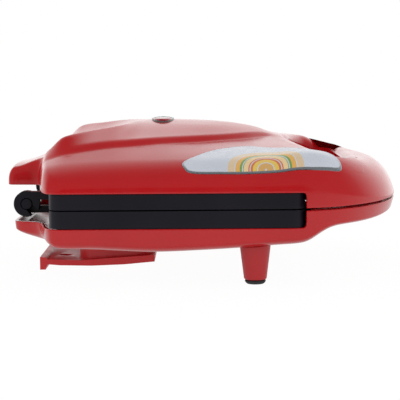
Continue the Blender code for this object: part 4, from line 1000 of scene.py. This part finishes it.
def make_camera():
    data = bpy.data.cameras.new("camera")
    data.sensor_width = 36.0
    data.lens = lens_pixels / photo_width * data.sensor_width
    data.clip_start = 0.01
    camera = bpy.data.objects.new("camera", data)
    bpy.context.scene.collection.objects.link(camera)
    turn = Matrix.Rotation(math.radians(90.0 - camera_pitch), 4, "X")
    roll = Matrix.Rotation(math.radians(camera_roll), 4, "Z")
    camera.matrix_world = Matrix.Translation(camera_place) @ turn @ roll
    bpy.context.scene.camera = camera


# Brightness of the surroundings by how far back, for reflections, and by height, for even light
glossy_tones = (
    (0.0, 0.0), (0.06, 0.02), (0.10, 0.25), (0.25, 0.30), (0.50, 0.28), (0.62, 0.38), (0.72, 0.72),
    (0.85, 1.1), (0.95, 1.35), (1.0, 1.25),
)
diffuse_tones = ((0.0, 1.4), (0.5, 1.5), (0.75, 0.98), (1.0, 0.55))


def make_world():
    """White to the camera, even to diffuse light, and a studio gradient to reflections."""
    world = bpy.data.worlds.new("studio")
    bpy.context.scene.world = world
    world.use_nodes = True
    nodes, links = world.node_tree.nodes, world.node_tree.links
    background = nodes["Background"]
    path = nodes.new("ShaderNodeLightPath")
    place = nodes.new("ShaderNodeTexCoord")
    split = nodes.new("ShaderNodeSeparateXYZ")
    links.new(place.outputs["Generated"], split.inputs["Vector"])
    shades = []
    for axis, tones in (("Y", glossy_tones), ("Z", diffuse_tones)):
        place_on_ramp = nodes.new("ShaderNodeMath")
        place_on_ramp.operation = "MULTIPLY_ADD"
        place_on_ramp.inputs[1].default_value = 0.5
        place_on_ramp.inputs[2].default_value = 0.5
        links.new(split.outputs[axis], place_on_ramp.inputs[0])
        ramp = nodes.new("ShaderNodeValToRGB")
        while len(ramp.color_ramp.elements) < len(tones):
            ramp.color_ramp.elements.new(1.0)
        for element, (position, tone) in zip(ramp.color_ramp.elements, tones):
            element.position = position
            element.color = (tone, tone, tone, 1.0)
        links.new(place_on_ramp.outputs[0], ramp.inputs["Fac"])
        shades.append(ramp.outputs["Color"])
    mixed = nodes.new("ShaderNodeMix")
    mixed.data_type = "RGBA"
    links.new(shades[1], mixed.inputs["A"])
    links.new(path.outputs["Is Glossy Ray"], mixed.inputs["Factor"])
    links.new(shades[0], mixed.inputs["B"])
    seen = nodes.new("ShaderNodeMix")
    seen.data_type = "RGBA"
    seen.inputs["B"].default_value = (1.0, 1.0, 1.0, 1.0)
    links.new(path.outputs["Is Camera Ray"], seen.inputs["Factor"])
    links.new(mixed.outputs["Result"], seen.inputs["A"])
    links.new(seen.outputs["Result"], background.inputs["Color"])
    background.inputs["Strength"].default_value = 1.0


def make_floor():
    """A pale floor that turns white to the camera and keeps a faint shadow."""
    shape = bmesh.new()
    bmesh.ops.create_circle(shape, cap_ends=True, segments=96, radius=0.75)
    mesh = bpy.data.meshes.new("floor")
    shape.to_mesh(mesh)
    shape.free()
    floor = bpy.data.objects.new("floor", mesh)
    bpy.context.scene.collection.objects.link(floor)
    made = bpy.data.materials.new("floor")
    made.use_nodes = True
    nodes, links = made.node_tree.nodes, made.node_tree.links
    shader = nodes["Principled BSDF"]
    shader.inputs["Base Color"].default_value = (0.82, 0.82, 0.82, 1.0)
    shader.inputs["Roughness"].default_value = 0.9
    shader.inputs["Specular IOR Level"].default_value = 0.0
    white = nodes.new("ShaderNodeEmission")
    path = nodes.new("ShaderNodeLightPath")
    scale = nodes.new("ShaderNodeMath")
    scale.operation = "MULTIPLY_ADD"
    scale.inputs[1].default_value = 0.45
    scale.inputs[2].default_value = 0.5
    mix = nodes.new("ShaderNodeMixShader")
    links.new(path.outputs["Is Camera Ray"], scale.inputs[0])
    links.new(scale.outputs[0], mix.inputs["Fac"])
    links.new(shader.outputs["BSDF"], mix.inputs[1])
    links.new(white.outputs["Emission"], mix.inputs[2])
    white.inputs["Strength"].default_value = 1.02
    links.new(mix.outputs["Shader"], nodes["Material Output"].inputs["Surface"])
    mesh.materials.append(made)


make_camera()
make_world()
make_floor()
bpy.context.scene.view_settings.view_transform = "Standard"
